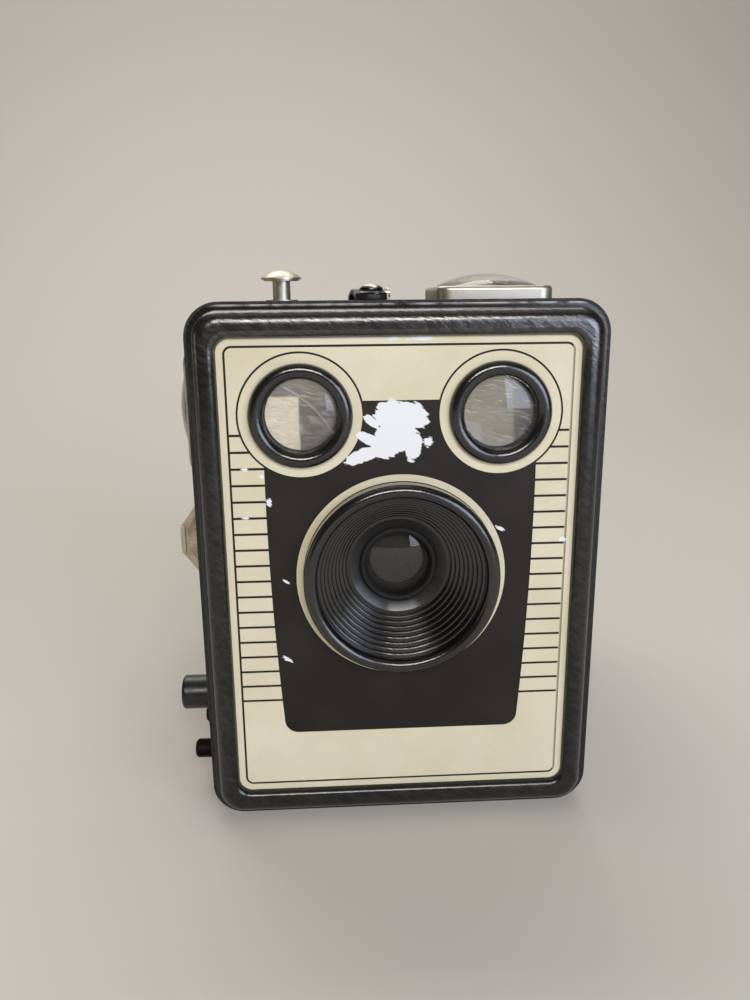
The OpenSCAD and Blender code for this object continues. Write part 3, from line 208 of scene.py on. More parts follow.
# Place, aim, width, height, watts, colour
PANELS = {
    "window_panel": ((0.53, -0.77, 0.25), (0, -0.05, 0.06), 0.60, 0.48, 1.45, "#dde8ff"),
    "front_strip": ((0.0, -0.97, 0.66), (0, -0.05, 0.10), 0.60, 0.26, 6.6, "#fcf8f3"),
    "ceiling_panel": ((0.0, 0.05, 1.0), (0, -0.03, 0.10), 1.20, 0.80, 1.2, "#fdf3e8"),
    "finder_card": ((-0.60, -0.0885, 0.116), (0, -0.0885, 0.116), 0.105, 0.168, 0.085, "#fff4e6"),
    "rear_fill": ((-0.25, 0.80, 1.10), (0, 0.03, 0.08), 1.10, 0.50, 5.0, "#fdf6ee"),
    "backdrop_lamp": ((0.0, 0.60, 1.50), (0, 1.05, 0.40), 1.20, 0.30, 6.0, "#ffffff"),
}
# A grid in front of the low panel keeps its light off the floor beside it
SPREAD, OPEN_SPREAD = {"window_panel": 100}, 180
for name, (stand, aim, wide, tall, watts, colour) in PANELS.items():
    lamp = bpy.data.lights.new(name, "AREA")
    lamp.shape = "RECTANGLE"
    lamp.size = wide
    lamp.size_y = tall
    lamp.energy = watts
    lamp.spread = math.radians(SPREAD.get(name, OPEN_SPREAD))
    lamp.color = linear(colour)[:3]
    panel = bpy.data.objects.new(name, lamp)
    bpy.context.scene.collection.objects.link(panel)
    panel.location = stand
    panel.rotation_euler = (Vector(aim) - Vector(stand)).to_track_quat("-Z", "Y").to_euler()
print("studio:", len(PANELS), "panels")

# %% [markdown]
# ## Leatherette
# The case is covered in leatherette: cotton cloth coated with black pyroxylin and rolled between
# engraved drums, which leaves a pebble grain of about a millimetre. A Voronoi cell pattern, softened and
# bent a little by noise, is that grain, and bump gives it depth. The tops of the pebbles are rubbed
# brown and shinier than the valleys, which is what makes the black look like leather.

# %% Leatherette
GRAIN_MM, WAVER_MM, PORE_MM, HAND_MM, GRAIN_DEEP_MM = 0.95, 2.2, 0.22, 17, 0.18
leatherette, place = new_finish("leatherette_coated_cloth", Roughness=0.45)
waver = add(leatherette, "ShaderNodeTexNoise", {"Scale": 1 / WAVER_MM, "Detail": 2}, {"Vector": place})
bent = add(leatherette, "ShaderNodeVectorMath", {"operation": "MULTIPLY_ADD", 1: (0.9, 0.9, 0.9)},
           {0: waver.outputs["Color"], 2: place})
pebble = add(leatherette, "ShaderNodeTexVoronoi",
             {"feature": "SMOOTH_F1", "Scale": 1 / GRAIN_MM, "Smoothness": 0.35},
             {"Vector": bent.outputs[0]})
pores = add(leatherette, "ShaderNodeTexNoise", {"Scale": 1 / PORE_MM, "Detail": 3}, {"Vector": place})
height = add(leatherette, "ShaderNodeMath", {"operation": "MULTIPLY_ADD", 1: -0.22},
             {0: pores.outputs["Fac"], 2: pebble.outputs["Distance"]})
bump = add(leatherette, "ShaderNodeBump",
           {"Strength": 0.75, "Distance": GRAIN_DEEP_MM * MM, "invert": True}, {"Height": height.outputs[0]})
join(leatherette, bump.outputs[0], "Normal")
tops = add(leatherette, "ShaderNodeMapRange", {"From Min": 0.62, "From Max": 0.12},
           {"Value": pebble.outputs["Distance"]})
hands = add(leatherette, "ShaderNodeTexNoise", {"Scale": 1 / HAND_MM, "Detail": 4}, {"Vector": place})
rubbed = add(leatherette, "ShaderNodeMath", {"operation": "MULTIPLY"},
             {0: tops.outputs[0], 1: hands.outputs["Fac"]})
tint = add(leatherette, "ShaderNodeMix",
           {"data_type": "RGBA", COLOUR_A: linear("#0e0c0b"), COLOUR_B: linear("#332b26")},
           {0: rubbed.outputs[0]})
join(leatherette, tint.outputs[COLOUR_OUT], "Base Color")
gloss = add(leatherette, "ShaderNodeMapRange", {"To Min": 0.58, "To Max": 0.33},
            {"Value": rubbed.outputs[0]})
join(leatherette, gloss.outputs[0], "Roughness")
print("leatherette grain", GRAIN_MM, "mm")

# %% [markdown]
# ## Black enamel
# The rolled front frame, the back and other black sheet pieces are stoved enamel over steel. On the
# frame it was laid over a slanting grain, which breaks the long highlight into short streaks. Stretched
# noise gives the streaks, and a wide soft noise gives the uneven shine of old enamel. A thin clear coat
# carries the highlight, and takes the same bump as the paint below it.

# %% Black enamel
STREAK_TURN, STREAK_LONG, PATCH_MM = 35, 3.5, 9
HOOD_COAT = 0.8


def black_enamel(name, streak_mm, depth_mm, roughness, base="#080605", coat=0.15):
    material, place = new_finish(name, IOR=1.5, Coat_Weight=coat, Coat_Roughness=0.10)
    turn = add(material, "ShaderNodeMapping",
               {"vector_type": "TEXTURE", "Rotation": (0.0, math.radians(STREAK_TURN), 0.0),
                "Scale": (STREAK_LONG, 1.0, 1.0)}, {"Vector": place})
    streak = add(material, "ShaderNodeTexNoise", {"Scale": 1 / streak_mm, "Detail": 4, "Roughness": 0.55},
                 {"Vector": turn.outputs[0]})
    bump = add(material, "ShaderNodeBump", {"Strength": 0.5, "Distance": depth_mm * MM},
               {"Height": streak.outputs["Fac"]})
    join(material, bump.outputs[0], "Normal")
    join(material, bump.outputs[0], "Coat Normal")
    patches = add(material, "ShaderNodeTexNoise", {"Scale": 1 / PATCH_MM, "Detail": 5}, {"Vector": place})
    worn = add(material, "ShaderNodeMapRange", {"From Min": 0.52, "From Max": 0.80, "To Max": 0.5},
               {"Value": patches.outputs["Fac"]})
    tint = add(material, "ShaderNodeMix",
               {"data_type": "RGBA", COLOUR_A: linear(base), COLOUR_B: linear("#1f1812")},
               {0: worn.outputs[0]})
    join(material, tint.outputs[COLOUR_OUT], "Base Color")
    shine = add(material, "ShaderNodeMapRange", {"To Min": roughness - 0.06, "To Max": roughness + 0.10},
                {"Value": patches.outputs["Fac"]})
    join(material, shine.outputs[0], "Roughness")
    return material


# Enamel over a coarse grain: a highlight of short streaks
frame_enamel = black_enamel("frame_grained_enamel", streak_mm=0.70, depth_mm=0.13, roughness=0.21)
# Dipped and stoved on smooth sheet: an even, soft shine
plain_enamel = black_enamel("stoved_black_enamel", streak_mm=0.45, depth_mm=0.03, roughness=0.16)
# Lacquer sprayed on turned pieces: crisp bright lines on every ridge
hood_black = black_enamel("hood_black_lacquer", streak_mm=0.35, depth_mm=0.05, roughness=0.20,
                          coat=HOOD_COAT)
# Matt paint inside the box: it swallows stray light
inner_enamel = black_enamel("matt_black_lining", streak_mm=0.3, depth_mm=0.02, roughness=0.62,
                            base="#121110", coat=0.0)
# Enamel on the case's raw edge, with a painted highlight along its top
rim_enamel = black_enamel("rim_enamel_painted_highlight", streak_mm=0.6, depth_mm=0.08, roughness=0.22, coat=0.5)
print("five black enamels")

# %% [markdown]
# Inside the hood, the seat round the lens is matt, which keeps stray light off the film. The distance
# from the lens axis tells the shader where the lacquer ends, so one finish serves the whole hood.

# %% Matt seat round the lens
seat_low, seat_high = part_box("lens_ring")
SEAT_R = (seat_high.x - seat_low.x) / 2
MATT_R, GLOSSY_R = SEAT_R + 0.2 * MM, SEAT_R + 3.4 * MM
MATT_ROUGHNESS = 0.55
spot = add(hood_black, "ShaderNodeTexCoord")
off_axis = add(hood_black, "ShaderNodeVectorMath",
               {"operation": "MULTIPLY_ADD", 1: (1, 0, 1), 2: (0, 0, -LENS_Z)}, {0: spot.outputs["Object"]})
radius = add(hood_black, "ShaderNodeVectorMath", {"operation": "LENGTH"}, {0: off_axis.outputs[0]})
matt = add(hood_black, "ShaderNodeMapRange",
           {"From Min": MATT_R, "From Max": GLOSSY_R, "To Min": MATT_ROUGHNESS, "To Max": 0.0},
           {"Value": radius.outputs["Value"]})
dulled = add(hood_black, "ShaderNodeMath", {"operation": "ADD"},
             {0: matt.outputs[0], 1: feed_of(hood_black, "Roughness")})
join(hood_black, dulled.outputs[0], "Roughness")
lacquer = add(hood_black, "ShaderNodeMapRange",
              {"From Min": MATT_R, "From Max": GLOSSY_R, "To Max": HOOD_COAT},
              {"Value": radius.outputs["Value"]})
join(hood_black, lacquer.outputs[0], "Coat Weight")
print("matt up to", round(GLOSSY_R / MM, 1), "mm from the axis")

# %% [markdown]
# The grain shows most along the frame's top bar, where hands have not rubbed it smooth. There the enamel
# is also made more reflective, a painted highlight; height above the floor leads from the plain bars to it.

# %% Grain of the frame, and a painted highlight on its top bar
SMOOTH_Z, GRAINED_Z = LENS_Z + 38 * MM, LENS_Z + 46 * MM
PLAIN_BAR_Z, BOOSTED_BAR_Z = LENS_Z + 43 * MM, LENS_Z + 47 * MM
grain = frame_enamel.node_tree.nodes["Bump"]
spot = add(frame_enamel, "ShaderNodeTexCoord")
level = add(frame_enamel, "ShaderNodeSeparateXYZ", {}, {0: spot.outputs["Object"]})
kept = add(frame_enamel, "ShaderNodeMapRange",
           {"From Min": SMOOTH_Z, "From Max": GRAINED_Z, "To Min": 0.2, "To Max": 0.6},
           {"Value": level.outputs["Z"]})
frame_enamel.node_tree.links.new(kept.outputs[0], grain.inputs["Strength"])
glint = add(frame_enamel, "ShaderNodeMapRange",
            {"From Min": 0.36, "From Max": 0.64, "To Min": 0.42, "To Max": 0.75},
            {"Value": grain.inputs["Height"].links[0].from_socket})
# Painted highlight: the top bar reflects up to 1.9 times more, which brightens the band the strip draws
# there
highlight_boost = add(frame_enamel, "ShaderNodeMapRange",
            {"From Min": PLAIN_BAR_Z, "From Max": BOOSTED_BAR_Z, "To Min": 1.0, "To Max": 1.9},
            {"Value": level.outputs["Z"]})
grain_glint_and_painted_highlight = add(frame_enamel, "ShaderNodeMath", {"operation": "MULTIPLY"},
             {0: glint.outputs[0], 1: highlight_boost.outputs[0]})
join(frame_enamel, grain_glint_and_painted_highlight.outputs[0], "Specular IOR Level")
print("frame grained above", round(GRAINED_Z / MM, 1), "mm")

# %% [markdown]
# A painted highlight runs along the top of the case's edge, where the light catches it. A band at that
# height, broken by noise, mixes a light grey over the enamel.

# %% Painted highlight on the case's rim
CASE_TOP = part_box("leatherette_wrap")[1].z
RIM_HIGHLIGHT_FROM_Z, RIM_HIGHLIGHT_FULL_Z, BREAKUP_MM = CASE_TOP - 1.1 * MM, CASE_TOP - 0.6 * MM, 3.0
spot = add(rim_enamel, "ShaderNodeTexCoord")
level = add(rim_enamel, "ShaderNodeSeparateXYZ", {}, {0: spot.outputs["Object"]})
at_top = add(rim_enamel, "ShaderNodeMapRange", {"From Min": RIM_HIGHLIGHT_FROM_Z, "From Max": RIM_HIGHLIGHT_FULL_Z},
             {"Value": level.outputs["Z"]})
highlight_breakup = add(rim_enamel, "ShaderNodeTexNoise", {"Scale": 1 / (BREAKUP_MM * MM), "Detail": 4},
          {"Vector": spot.outputs["Object"]})
patchy = add(rim_enamel, "ShaderNodeMapRange", {"From Min": 0.35, "From Max": 0.6},
             {"Value": highlight_breakup.outputs["Fac"]})
painted_highlight = add(rim_enamel, "ShaderNodeMath", {"operation": "MULTIPLY"},
           {0: at_top.outputs[0], 1: patchy.outputs[0]})
# Painted highlight: the light grey stands for light on the top edge
tint = add(rim_enamel, "ShaderNodeMix", {"data_type": "RGBA", COLOUR_B: linear("#c6c4c2")},
           {0: painted_highlight.outputs[0], COLOUR_A: feed_of(rim_enamel, "Base Color")})
join(rim_enamel, tint.outputs[COLOUR_OUT], "Base Color")
print("rim bare above", round(RIM_HIGHLIGHT_FULL_Z / MM, 1), "mm")

# %% [markdown]
# ## The front plate
# The plate is steel, sprayed with cream enamel and printed black. Its pressed lines and panel lie a
# fifth of a millimetre deep, so depth tells which colour a spot has, and no picture is needed. The cream
# has yellowed in clouds and specks, and sprayed enamel keeps a faint orange peel that softens its shine.

# %% Cream and black of the plate
SPECK_MM, CLOUD_MM, PEEL_DEEP_MM = 0.35, 14, 0.03
PRINT_MM, FULL_PRINT_MM = 0.06, 0.12  # depths at which the black begins and is full
FACE_MM = PLATE_Y / MM
plate_enamel, place = new_finish("plate_cream_enamel", Specular_IOR_Level=0.3)
axes = add(plate_enamel, "ShaderNodeSeparateXYZ", {}, {0: place})
speck = add(plate_enamel, "ShaderNodeTexNoise", {"Scale": 1 / SPECK_MM, "Detail": 4}, {"Vector": place})
cloud = add(plate_enamel, "ShaderNodeTexNoise", {"Scale": 1 / CLOUD_MM, "Detail": 4}, {"Vector": place})
aged = add(plate_enamel, "ShaderNodeMath", {"operation": "MULTIPLY_ADD", 1: 0.35},
           {0: speck.outputs["Fac"], 2: cloud.outputs["Fac"]})
age = add(plate_enamel, "ShaderNodeMapRange", {"From Min": 0.42, "From Max": 0.95},
          {"Value": aged.outputs[0]})
cream = add(plate_enamel, "ShaderNodeMix",
            {"data_type": "RGBA", COLOUR_A: linear("#ddd6bd"), COLOUR_B: linear("#cfc6a9")},
            {0: age.outputs[0]})
black = add(plate_enamel, "ShaderNodeMix",
            {"data_type": "RGBA", COLOUR_A: linear("#17120f"), COLOUR_B: linear("#26201c")},
            {0: age.outputs[0]})
printed = add(plate_enamel, "ShaderNodeMapRange",
              {"From Min": FACE_MM + PRINT_MM, "From Max": FACE_MM + FULL_PRINT_MM},
              {"Value": axes.outputs["Y"]})
# Right of this line the pinstripe gets only half of its black
LINE_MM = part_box("faceplate")[1].x / MM - 1.9
lighter_right = add(plate_enamel, "ShaderNodeMapRange",
            {"From Min": LINE_MM, "From Max": LINE_MM + 0.15, "To Min": 1.0, "To Max": 0.5},
            {"Value": axes.outputs["X"]})
left_black = add(plate_enamel, "ShaderNodeMath", {"operation": "MULTIPLY"},
                 {0: printed.outputs[0], 1: lighter_right.outputs[0]})
two_tone = add(plate_enamel, "ShaderNodeMix", {"data_type": "RGBA"},
               {0: left_black.outputs[0], COLOUR_A: cream.outputs[COLOUR_OUT],
                COLOUR_B: black.outputs[COLOUR_OUT]})
sheen = add(plate_enamel, "ShaderNodeMapRange", {"To Min": 0.36, "To Max": 0.52}, {"Value": aged.outputs[0]})
join(plate_enamel, sheen.outputs[0], "Roughness")
orange_peel = add(plate_enamel, "ShaderNodeBump", {"Strength": 0.25, "Distance": PEEL_DEEP_MM * MM},
                  {"Height": speck.outputs["Fac"]})
join(plate_enamel, orange_peel.outputs[0], "Normal")
print("plate in cream and black")

# %% [markdown]
# Years of handling chipped the print down to bright metal. One large rubbed patch lies between the
# finders, and small chips are strewn over the edges. Each spot is an ellipse whose rim noise bites into,
# and the largest of all the spots' values decides, so overlapping spots join into one ragged shape.

# %% Chips in the print
RAGGED_MM, FLAKE_MM, SLANT = 0.9, 0.35, 22
RAGGED_BITE, FLAKE_BITE = 0.9, 2.6
DEEP = 1e3  # a spot reaches through the plate
slant = add(plate_enamel, "ShaderNodeMapping",
            {"vector_type": "TEXTURE", "Rotation": (0.0, math.radians(SLANT), 0.0),
             "Scale": (3.2, 1.0, 0.8)}, {"Vector": place})
ragged = add(plate_enamel, "ShaderNodeTexNoise", {"Scale": 1 / RAGGED_MM, "Detail": 5, "Roughness": 0.55},
             {"Vector": slant.outputs[0]})
flaked = add(plate_enamel, "ShaderNodeTexNoise", {"Scale": 1 / FLAKE_MM, "Detail": 4, "Roughness": 0.6},
             {"Vector": slant.outputs[0]})
# Millimetres from the lens axis: across, up, half width, half height, then the turn in degrees
RUBBED = [
    (-2.3, 34.0, 3.3, 3.1, 0), (1.8, 33.6, 3.7, 3.3, 0), (-0.8, 30.0, 4.7, 3.6, 0),
    (2.6, 27.6, 1.7, 3.3, 10), (-5.9, 32.8, 2.1, 0.9, 40), (-6.4, 29.2, 2.9, 1.2, 24),
    (-7.3, 26.0, 4.9, 1.5, -20), (-2.9, 27.3, 3.9, 2.1, -14), (3.9, 32.9, 1.9, 1.2, 25)]
CHIPPED = [
    (5.4, 28.5, 1.0, 1.0, 0), (-31.6, 23.5, 0.8, 0.35, 0), (-28.1, 22.0, 0.5, 0.5, 0),
    (-26.9, 16.6, 0.55, 0.95, -20), (-31.9, 13.4, 0.75, 0.35, 0), (-24.1, -0.5, 0.75, 0.28, 38),
    (-24.4, -18.1, 1.2, 0.42, 38), (20.6, 10.0, 1.1, 0.4, 30), (33.8, 7.2, 1.0, 0.5, 0),
    (4.0, 48.9, 2.4, 0.35, 0), (-1.5, 49.0, 1.0, 0.3, 0)]
worn_share = None
for spots, noise, bite in ((RUBBED, ragged, RAGGED_BITE), (CHIPPED, flaked, FLAKE_BITE)):
    for across, height_up, half_w, half_h, turned in spots:
        inside = add(plate_enamel, "ShaderNodeMapping",
                     {"vector_type": "TEXTURE", "Location": (across, 0, LENS_Z / MM + height_up),
                      "Rotation": (0, math.radians(turned), 0), "Scale": (half_w, DEEP, half_h)},
                     {"Vector": place})
        reach = add(plate_enamel, "ShaderNodeVectorMath", {"operation": "LENGTH"}, {0: inside.outputs[0]})
        edge = add(plate_enamel, "ShaderNodeMath", {"operation": "MULTIPLY_ADD", 1: bite},
                   {0: noise.outputs["Fac"], 2: reach.outputs["Value"]})
        chip = add(plate_enamel, "ShaderNodeMapRange",
                   {"From Min": 0.97 + bite / 2, "From Max": 0.90 + bite / 2}, {"Value": edge.outputs[0]})
        if worn_share is None:
            worn_share = chip.outputs[0]
        else:
            worn_share = add(plate_enamel, "ShaderNodeMath", {"operation": "MAXIMUM"},
                             {0: worn_share, 1: chip.outputs[0]}).outputs[0]
plate_tint = add(plate_enamel, "ShaderNodeMix", {"data_type": "RGBA", COLOUR_B: linear("#e6e8ec")},
                 {0: worn_share, COLOUR_A: two_tone.outputs[COLOUR_OUT]})
join(plate_enamel, plate_tint.outputs[COLOUR_OUT], "Base Color")
print("plate with", len(RUBBED) + len(CHIPPED), "worn spots")

# %% [markdown]
# ## Metals
# Bright pieces are brass with nickel plated on it, warmer than chrome and softly tarnished. Hidden
# pieces are plain steel sheet. Clouds of noise mix a clean and a dull colour and roughen the dull places,
# and a very fine bump stands for the marks of polishing, drawn coarser than it is, so that it shows.

# %% Nickel, steel and brass
TARNISH_MM, POLISH_MM, POLISH_DEEP_MM = 3.2, 0.25, 0.02


def sheet_metal(name, clean, dull, roughness):
    material, place = new_finish(name, Metallic=1.0)
    clouds = add(material, "ShaderNodeTexNoise", {"Scale": 1 / TARNISH_MM, "Detail": 5}, {"Vector": place})
    dirt = add(material, "ShaderNodeMapRange", {"From Min": 0.45, "From Max": 0.78, "To Max": 0.5},
               {"Value": clouds.outputs["Fac"]})
    tint = add(material, "ShaderNodeMix",
               {"data_type": "RGBA", COLOUR_A: linear(clean), COLOUR_B: linear(dull)}, {0: dirt.outputs[0]})
    join(material, tint.outputs[COLOUR_OUT], "Base Color")
    shine = add(material, "ShaderNodeMapRange", {"To Min": roughness, "To Max": roughness + 0.25},
                {"Value": clouds.outputs["Fac"]})
    join(material, shine.outputs[0], "Roughness")
    polish = add(material, "ShaderNodeTexNoise", {"Scale": 1 / POLISH_MM, "Detail": 3}, {"Vector": place})
    bump = add(material, "ShaderNodeBump", {"Strength": 0.12, "Distance": POLISH_DEEP_MM * MM},
               {"Height": polish.outputs["Fac"]})
    join(material, bump.outputs[0], "Normal")
    return material


# Plated and buffed: soft, warm reflections
nickel = sheet_metal("satin_nickel_plate", "#bfb9ac", "#857b6b", 0.28)
# Cold-rolled sheet: grey, with a broad sheen
steel = sheet_metal("plain_steel_sheet", "#b9b6af", "#77726a", 0.34)
# Rolled spring brass: yellow, browned by age
brass = sheet_metal("spring_brass", "#c9a45c", "#80602f", 0.28)
# Plating dulled by fingers: pale, with hardly a reflection
tarnished = sheet_metal("tarnished_nickel", "#cdc3b0", "#94897a", 0.48)
# Steel blackened in a bath: dark, with a faint metal sheen
blackened = sheet_metal("blackened_steel", "#1c1a18", "#2c2825", 0.42)
print("five metals")

# %% [markdown]
# ## Glass
# Lenses are crown glass, ground and polished, under a film of dust that makes them rougher in patches.
# Wiping left fine scratches, which stretched noise gives: in them the glass lets less light through. The
# shutter behind the lens is closed and the box is dark, and a smoky tint stands for that. The red window
# is dyed film.

# %% Glass and red film
DUST_MM, HAIR_MM, WIPE_TURN = 1.7, 0.3, 14


def crown_glass(name, tint, haze, scratches=0.0, film=0.16):
    material, place = new_finish(name, IOR=1.52, Base_Color=linear(tint))
    dust = add(material, "ShaderNodeTexNoise", {"Scale": 1 / DUST_MM, "Detail": 6, "Roughness": 0.7},
               {"Vector": place})
    dulling = add(material, "ShaderNodeMapRange",
                  {"From Min": 0.4, "From Max": 0.85, "To Min": 0.02, "To Max": film},
                  {"Value": dust.outputs["Fac"]})
    join(material, dulling.outputs[0], "Roughness")
    wiped = add(material, "ShaderNodeMapping",
                {"vector_type": "TEXTURE", "Rotation": (0.0, math.radians(WIPE_TURN), 0.0),
                 "Scale": (9.0, 3.0, 0.8)}, {"Vector": place})
    hairs = add(material, "ShaderNodeTexNoise", {"Scale": 1 / HAIR_MM, "Detail": 4, "Roughness": 0.55},
                {"Vector": wiped.outputs[0]})
    clear = add(material, "ShaderNodeMapRange",
                {"From Min": 0.50, "From Max": 0.80, "To Min": 1.0 - haze, "To Max": 1.0 - haze - scratches},
                {"Value": hairs.outputs["Fac"]})
    join(material, clear.outputs[0], "Transmission Weight")
    return material, place


glass, place = crown_glass("finder_crown_glass", "#f2f0ec", 0.05, scratches=0.4)
lens_glass, _ = crown_glass("lens_crown_glass", "#7f7b76", 0.11, film=0.05)
red_film, _ = crown_glass("red_window_film", "#a01812", 0.25)
print("two glasses and one film")

# %% [markdown]
# One long curved scratch runs over the left finder's glass. It is part of a circle: where the distance
# from the circle's middle is close to its radius, the glass loses half of its clearness.

# %% Long scratch on the finder
SCRATCH_R, SCRATCH_W = 22.3, 0.06
SCRATCH_LEFT, SCRATCH_DOWN = 13.4, 14.05  # the circle's middle, from the finder's
finder_low, finder_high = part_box("finder_objectives")
finder_r = (finder_high.z - finder_low.z) / 2
about = (finder_low.x / MM + finder_r / MM - SCRATCH_LEFT, 0,
         (finder_low.z + finder_r) / MM - SCRATCH_DOWN)
from_middle = add(glass, "ShaderNodeVectorMath", {"operation": "SUBTRACT", 1: about}, {0: place})
flat = add(glass, "ShaderNodeVectorMath", {"operation": "MULTIPLY", 1: (1, 0, 1)},
           {0: from_middle.outputs[0]})
out_to = add(glass, "ShaderNodeVectorMath", {"operation": "LENGTH"}, {0: flat.outputs[0]})
off_line = add(glass, "ShaderNodeMath", {"operation": "SUBTRACT", 1: SCRATCH_R},
               {0: out_to.outputs["Value"]})
beside = add(glass, "ShaderNodeMath", {"operation": "ABSOLUTE"}, {0: off_line.outputs[0]})
scratch = add(glass, "ShaderNodeMapRange", {"From Min": SCRATCH_W / 2, "From Max": SCRATCH_W, "To Min": 0.5},
              {"Value": beside.outputs[0]})
clear = add(glass, "ShaderNodeMath", {"operation": "MULTIPLY"},
            {0: feed_of(glass, "Transmission Weight"), 1: scratch.outputs[0]})
join(glass, clear.outputs[0], "Transmission Weight")
print("scratch of radius", SCRATCH_R, "mm")

# %% [markdown]
# ## Mirror, plastic and hide
# The finders' mirrors are silvered glass that has bloomed in patches. Knobs are phenolic, moulded in
# polished steel: nearly black, with a shine that handling dulls. The strap is dyed hide, browner and
# duller, and the same recipe serves it with other colours.

# %% Mirror, plastic and hide
BLOOM_MM, WEAR_MM, GRIT_MM, GRIT_DEEP_MM = 2.5, 2.4, 0.3, 0.02
silvering, place = new_finish("silvered_mirror", Metallic=1.0, Base_Color=linear("#d6d8d4"))
bloom = add(silvering, "ShaderNodeTexNoise", {"Scale": 1 / BLOOM_MM, "Detail": 6}, {"Vector": place})
clouded = add(silvering, "ShaderNodeMapRange",
              {"From Min": 0.45, "From Max": 0.8, "To Min": 0.03, "To Max": 0.3},
              {"Value": bloom.outputs["Fac"]})
join(silvering, clouded.outputs[0], "Roughness")


def handled(name, base, worn, roughness):
    material, place = new_finish(name, IOR=1.55)
    wear = add(material, "ShaderNodeTexNoise", {"Scale": 1 / WEAR_MM, "Detail": 5}, {"Vector": place})
    share = add(material, "ShaderNodeMapRange", {"From Min": 0.5, "From Max": 0.85, "To Max": 0.6},
                {"Value": wear.outputs["Fac"]})
    tint = add(material, "ShaderNodeMix",
               {"data_type": "RGBA", COLOUR_A: linear(base), COLOUR_B: linear(worn)}, {0: share.outputs[0]})
    join(material, tint.outputs[COLOUR_OUT], "Base Color")
    shine = add(material, "ShaderNodeMapRange", {"To Min": roughness - 0.1, "To Max": roughness + 0.15},
                {"Value": wear.outputs["Fac"]})
    join(material, shine.outputs[0], "Roughness")
    grit = add(material, "ShaderNodeTexNoise", {"Scale": 1 / GRIT_MM, "Detail": 3}, {"Vector": place})
    bump = add(material, "ShaderNodeBump", {"Strength": 0.15, "Distance": GRIT_DEEP_MM * MM},
               {"Height": grit.outputs["Fac"]})
    join(material, bump.outputs[0], "Normal")
    return material


phenolic = handled("moulded_phenolic", "#0e0d0d", "#2b2724", 0.30)
strap_leather = handled("strap_hide", "#16120f", "#3a2f27", 0.52)
print("mirror, plastic and hide made")

# %% [markdown]
# ## Dressing the solids
# Each solid keeps its shape and gets its finish. Sheet metal never has a knife edge, so a small bevel
# rounds the hard edges, which is what makes a highlight run along every rim. The solids are loose
# triangles: a weld joins them and a dissolve makes flat faces whole, or the bevel would follow the seams.

# %% Finishes for the solids
FINISH = {
    leatherette: "leatherette_wrap back_leather",
    frame_enamel: "front_frame",
    rim_enamel: "case_shell",
    plain_enamel: "back_door hinge_leaf window_frame window_slide strap_collars",
    plate_enamel: "faceplate",
    hood_black: "lens_hood lens_ring finder_bezels",
    inner_enamel: "finder_housing_side finder_housing_top mechanism_cover film_cone film_gate "
                  "carrier_side_left carrier_side_right take_up_spool",
    glass: "finder_objectives finder_eye_side finder_eye_top",
    lens_glass: "lens close_up_lens",
    silvering: "finder_mirrors",
    nickel: "finder_frame_side finder_frame_top plunger plunger_guide latch_leaf latch_bracket latch_stud "
            "strap_studs",
    tarnished: "time_slide",
    blackened: "mechanism_plate flash_pins shutter_blade close_up_plate",
    steel: "spacer_posts blade_pivot release_slide close_up_rod close_up_bush guide_roller_top "
           "guide_roller_bottom spool_pivots winding_shaft winding_sleeve winding_bush hinge_pin "
           "tripod_bushes",
    phenolic: "close_up_knob winding_knob flash_bushes",
    brass: "contact_strips",
    red_film: "red_window",
}
EDGE_MM = {"leatherette_wrap": 0.35, "back_leather": 0.2, "front_frame": 0.1, "back_door": 0.5,
           "case_shell": 0.36, "winding_knob": 0.2, "latch_leaf": 0.15, "window_slide": 0.15,
           "window_frame": 0.15, "time_slide": 0.12}
SAME_POINT_MM, FLAT_WITHIN, HARD_EDGE = 0.002, 0.4, 40
for material, names in FINISH.items():
    for name in names.split():
        solid = nodes[name]
        solid.data.materials.clear()
        solid.data.materials.append(material)
        if name in EDGE_MM:
            weld = solid.modifiers.new("weld", "WELD")
            weld.merge_threshold = SAME_POINT_MM * MM
            whole = solid.modifiers.new("flat_faces", "DECIMATE")
            whole.decimate_type = "DISSOLVE"
            whole.angle_limit = math.radians(FLAT_WITHIN)
            rounding = solid.modifiers.new("rounding", "BEVEL")
            rounding.width = EDGE_MM[name] * MM
            rounding.segments = 3
            rounding.limit_method = "ANGLE"
            rounding.angle_limit = math.radians(HARD_EDGE)
            rounding.harden_normals = True
print("dressed", sum(len(names.split()) for names in FINISH.values()), "solids")

# %% [markdown]
# ## The carrying strap
# The strap is a band of hide held by a stud at each end, and it rises a little in the middle, so a
# finger can lift it. By hand one would start from a short strip and pull its end along, station by
# station, and so does this cell. Its sizes are read from the plain solid that it replaces.

# %% Strip drawn along the arch
END, STATIONS, ARCH_END = 4.2 * MM, 20, 1.5 * MM
low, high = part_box("strap")
strap_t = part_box("strap_collars")[0].z - low.z
strap_w = high.x - low.x
rise = high.z - low.z - strap_t
middle = (low + high) / 2
arch_half = (high.y - low.y) / 2 - strap_w - ARCH_END


def underside(y):
    """Height of the strap's underside over the case at one station."""
    share = min(abs(y - middle.y) / arch_half, 1.0)
    return rise * (1 - share * share)


